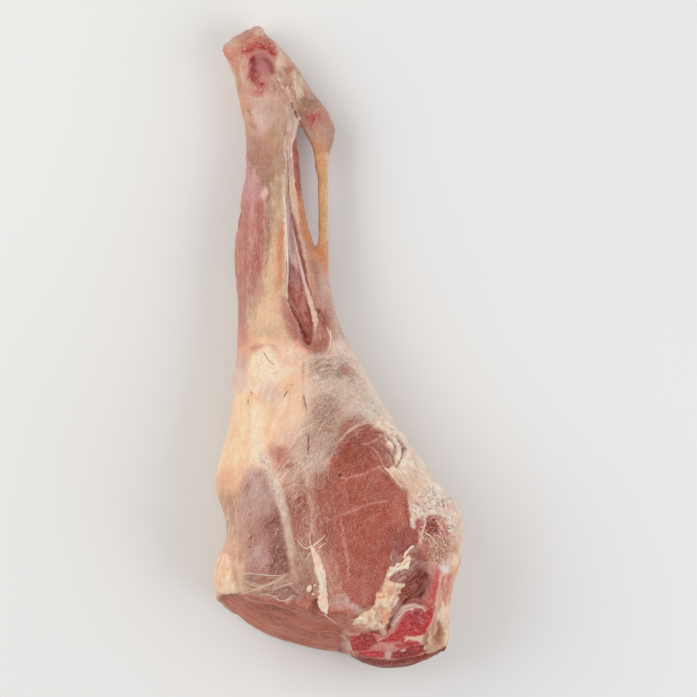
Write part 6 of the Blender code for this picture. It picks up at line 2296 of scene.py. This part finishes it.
def make_fibres(ground):
    """The fine pale fibres that stand out on thin skin, sheaths and muscle."""
    pile = Pile()
    pale = (238, 212, 192)
    rosy = (216, 170, 154)
    middle = Patch(
        "-19,-7 -5,-3 10.5,-10 23,-28 32.5,-43.5 24.5,-51 9,-56 0.5,-63 -6.5,-75.5 -15,-88 -24.5,-85.5 "
        "-29,-71.5 -26,-57.5 -22,-39", 3)
    for shape, count, angle, spread, length, width, tint in (
        (middle, 110, 38, 20, 7, 0.34, pale),
        (Patch("-1,-1.5 7.5,0 28.5,-26.5 44,-53 38.5,-63 24.5,-39 7.5,-14", 2), 50, -52, 14, 7, 0.40,
         (250, 230, 214)),
        (Blob((-20.5, -75.5), (11, 20)), 44, 76, 12, 8, 0.34, pale),
        (Band("-50,-82.5 -40,-106.5 -34.5,-126 -31,-143", 6, 3, 1.5), 40, -72, 10, 7, 0.34, pale),
        (Patch("-36,-95 -26,-92.5 -17.5,-106.5 -14,-134.5 -17.5,-162.5 -23.5,-175 -29.5,-148.5 "
         "-33,-120.5", 2), 60, 70, 30, 3, 0.32, rosy),
        (Blob((-10.5, -115), (7, 30)), 30, 82, 16, 4, 0.32, rosy),
        (Patch("-66,-160.5 -52.5,-159.5 -33,-159.5 -26,-172 -40,-173.5 -61,-171", 1.5), 20, 14, 14, 10,
         0.30, rosy),
        (Blob((-33, -84), (8, 8)), 16, 55, 14, 6, 0.36, pale),
        (Blob((-41.5, 183.5), (11, 12)), 22, -60, 16, 4.5, 0.34, (230, 196, 174)),
        (Band("-35,166.5 -34,138.5 -35,103.5 -35,47.5", 5, 3, 1), 44, 88, 7, 8, 0.36, (244, 222, 206)),
        (Blob((-27.5, 182), (3.5, 9)), 12, -74, 8, 5, 0.4, (242, 220, 200)),
        (Band("-45,110.5 -44.5,75.5 -47,33.5", 8, 14, 1.5), 40, 91, 6, 9, 0.32, (236, 208, 180)),
        (Band("-61,124.5 -61,75.5 -62,19.5", 12, 14, 2), 44, 91, 8, 8, 0.30, (216, 168, 158)),
        (Blob((-27, 28), (8, 26), 20), 34, 113, 8, 6, 0.34, rosy),
        (Blob((-9.5, 15.5), (6, 16)), 24, 98, 12, 5, 0.34, rosy),
        (Band("-5,33.5 0.5,12.5 10.5,-5.5", 6, 8, 2), 24, 108, 12, 7, 0.36, pale),
        (Blob((38.5, -71.5), (6, 14), 30), 16, -50, 12, 5, 0.32, (240, 214, 200)),
        (Blob((10.5, -60), (18, 5), 25), 24, 32, 16, 5, 0.34, (224, 180, 164)),
        (Patch("-22,-10 -5,-4 10.5,-10 20,-25 16,-38 -5,-36.5 -20.5,-29.5", 3), 75, 12, 35, 5, 0.44,
         (252, 234, 220)),
        (Blob((-52.5, -115), (13, 32), 5), 52, 58, 25, 4, 0.32, (218, 186, 176)),
        (Patch("-62.5,33.5 -40,33.5 -37.5,5.5 -59.5,3", 2), 31, 100, 20, 5, 0.36, (248, 224, 198)),
        (Patch("2,-85.5 30,-89.5 46.5,-106.5 51,-127.5 24.5,-169.5 9,-169.5 -2.5,-120.5", 4), 64, 62,
         22, 3, 0.30, (218, 150, 132)),
    ):
        scatter_fibres(
            pile, ground, shape, count, angle, spread, length, width, tint, 190 + count, curl=0.06,
            lift=0.1)
    return pile.make("fine_fibres", sinew_material())


def make_threads(ground):
    """Thin pale sinews that stand out from the meat."""
    pile = Pile()
    pale = (234, 208, 190)
    lay_routes(
        pile, ground,
        (
            ("-9.5,-184 -4.5,-188.5 1,-193", (1.2, 0.7), (238, 206, 188)),
            ("-37.5,110.5 -36,86 -35,60 -35,40.5", (0.9, 1.2, 1.3, 0.9), (240, 226, 214)),
            ("-5,13.5 -4.5,7 -5,0", 0.8, (242, 224, 210)),
            ("-65.5,-157 -57,-157 -47,-158 -36,-158", (0.5, 0.7, 0.5), (232, 204, 186)),
            (
                "-69.5,-172 -61,-169.5 -52.5,-166.5 -44.5,-162.5 -35,-157.5",
                (0.6, 0.9, 0.6),
                (230, 200, 180),
            ),
            ("-62.5,-164 -54,-166 -45.5,-164 -37.5,-161", (0.5, 0.7, 0.5), pale),
            ("-52.5,-171 -45.5,-172 -40,-175.5 -34.5,-175 -31,-171", (0.5, 0.7, 0.5), pale),
            ("-45,-168.5 -37.5,-165 -30.5,-163", (0.5, 0.8, 0.5), pale),
            ("-40,-85.5 -36,-81 -32.5,-76.5", 0.7, pale),
            ("-66,91 -62.5,88 -59,87", 0.3, (216, 166, 154)),
            ("-59,87 -55.5,89 -52.5,94", 0.3, (222, 176, 164)),
            ("6,-60 13,-55.5 21,-52.5 28,-55.5 37,-61.5", 0.8, (224, 188, 170)),
        ),
        20, lift=0.35)
    return pile.make("sinew_threads", sinew_material())


def make_pocket_cord(ground):
    """The pale cord that runs down into the pocket behind the shin."""
    pile = Pile()
    lay_strand(
        pile, ground, "-32.5,88 -29.5,74 -26,60 -23.5,47.5 -20.5,38 -17.5,28 -15.5,19.5 -15.5,10",
        (0.7, 1.2, 1.4, 1.8, 2.6, 3.6, 4.0, 2.4), 0.6, (222, 186, 170), lift=0.25, lumps=0.3, seed=30)
    lay_strand(
        pile, ground, "-31,75.5 -27,60 -22.5,43.5 -19,32 -17,21", (0.4, 0.6, 0.8, 1.0, 0.6), 0.8,
        (244, 220, 206), lift=1.2, lumps=0.3, seed=31)
    lay_strand(
        pile, ground, "-34,78.5 -31.5,67 -29,54.5 -25.5,42", (0.4, 0.6, 0.5), 0.8, (216, 180, 172),
        lift=0.3, lumps=0.3, seed=32)
    return pile.make("pocket_cord", sinew_material())


def make_scratches(ground):
    """Fine dark cracks and cuts in the fat and the thin skin."""
    pile = Pile()
    dark = (116, 48, 38)
    lay_routes(
        pile, ground,
        (
            ("-52,-2 -49,-7 -46.5,-10 -43,-12.5", 0.4, dark),
            ("-60.5,-30 -59,-33", 0.5, dark),
            ("-62,-35 -62.5,-38 -62,-40", 0.5, dark),
            ("-37.5,-35 -36,-32 -34,-29.5", 0.5, dark),
            ("-32.5,-25 -31.5,-26.5", 0.7, dark),
            ("-59,-129.5 -61,-134.5", 0.6, dark),
            ("-59,-134.5 -62,-140", 0.6, dark),
            ("-61,-93 -64,-97.5 -66,-101", 0.4, dark),
            ("-20.5,-59.5 -20,-67 -20.5,-75", 0.5, (150, 66, 64)),
            ("-23.5,-32 -22.5,-38 -21,-43.5", 0.6, (156, 84, 68)),
        ),
        40, lift=0.1)
    lay_strand(pile, ground, "1,-88 3,-88.5", 2.6, 0.5, (16, 6, 6), lift=0.8, lumps=0.05, taper=0.3)
    return pile.make("fine_cracks", sinew_material())


def make_loose_pieces(skin):
    """Everything that lies loose on the skin."""
    ground = Ground(skin)
    make_fat_cord(ground)
    make_hip_fat(ground)
    make_shreds(ground)
    make_fibres(ground)
    make_threads(ground)
    make_pocket_cord(ground)
    make_scratches(ground)


# ---------------------------------------------------------------------------
# Floor, light and camera
# ---------------------------------------------------------------------------
def make_floor():
    """The table top, level with the lowest point of the leg."""
    size = FLOOR_SIZE / 2
    mesh = bpy.data.meshes.new("table")
    corners = [(-size, -size, 0), (size, -size, 0), (size, size, 0), (-size, size, 0)]
    mesh.from_pydata(corners, [], [(0, 1, 2, 3)])
    mesh.materials.append(floor_material())
    floor = bpy.data.objects.new("table", mesh)
    bpy.context.scene.collection.objects.link(floor)


def aim(obj, target):
    """Turn a light or camera to look at a point, with its top towards +Y."""
    direction = Vector(target) - obj.location
    obj.rotation_euler = direction.to_track_quat("-Z", "Y").to_euler()


def add_softbox(name, place, size, power, colour):
    """A wide soft light, turned towards the leg."""
    light = bpy.data.lights.new(name, "AREA")
    light.shape = "RECTANGLE"
    light.size, light.size_y = size
    light.energy = power
    light.color = linear(colour)
    lamp = bpy.data.objects.new(name, light)
    lamp.location = place
    bpy.context.scene.collection.objects.link(lamp)
    aim(lamp, LIGHT_TARGET)


def light_scene():
    """Two big soft lights, low at either side, and a pale room."""
    add_softbox("key", KEY_PLACE, KEY_SIZE, KEY_POWER, KEY_COLOUR)
    add_softbox("fill", FILL_PLACE, FILL_SIZE, FILL_POWER, FILL_COLOUR)
    world = bpy.data.worlds.new("pale_room")
    world.use_nodes = True
    background = world.node_tree.nodes["Background"]
    background.inputs["Color"].default_value = (*linear(ROOM_COLOUR), 1.0)
    background.inputs["Strength"].default_value = ROOM_STRENGTH
    bpy.context.scene.world = world
    bpy.context.scene.view_settings.view_transform = "Standard"


def add_camera():
    """Straight above the leg, with the hock at the top of the picture."""
    camera = bpy.data.objects.new("camera", bpy.data.cameras.new("camera"))
    distance = CAMERA_HEIGHT - VIEW_LEVEL * MM
    camera.data.sensor_width = SENSOR
    camera.data.lens = SENSOR * distance / (VIEW_WIDTH * MM)
    camera.location = (VIEW_CENTRE[0] * MM, VIEW_CENTRE[1] * MM, CAMERA_HEIGHT)
    bpy.context.scene.collection.objects.link(camera)
    bpy.context.scene.camera = camera


def main():
    """Bones first, because the skin closes round them, and then what lies on the skin."""
    bone = bone_material()
    hip = make_bone("sawn_hip_bone", "hip_bone", paint_hip_bone, BEIGE, bone)
    hock = make_bone("hock_joint_bone", "hock_bone", paint_hock_bone, BEIGE, bone)
    skin = make_skin([hip, hock])
    make_loose_pieces(skin)
    make_floor()
    light_scene()
    add_camera()


main()
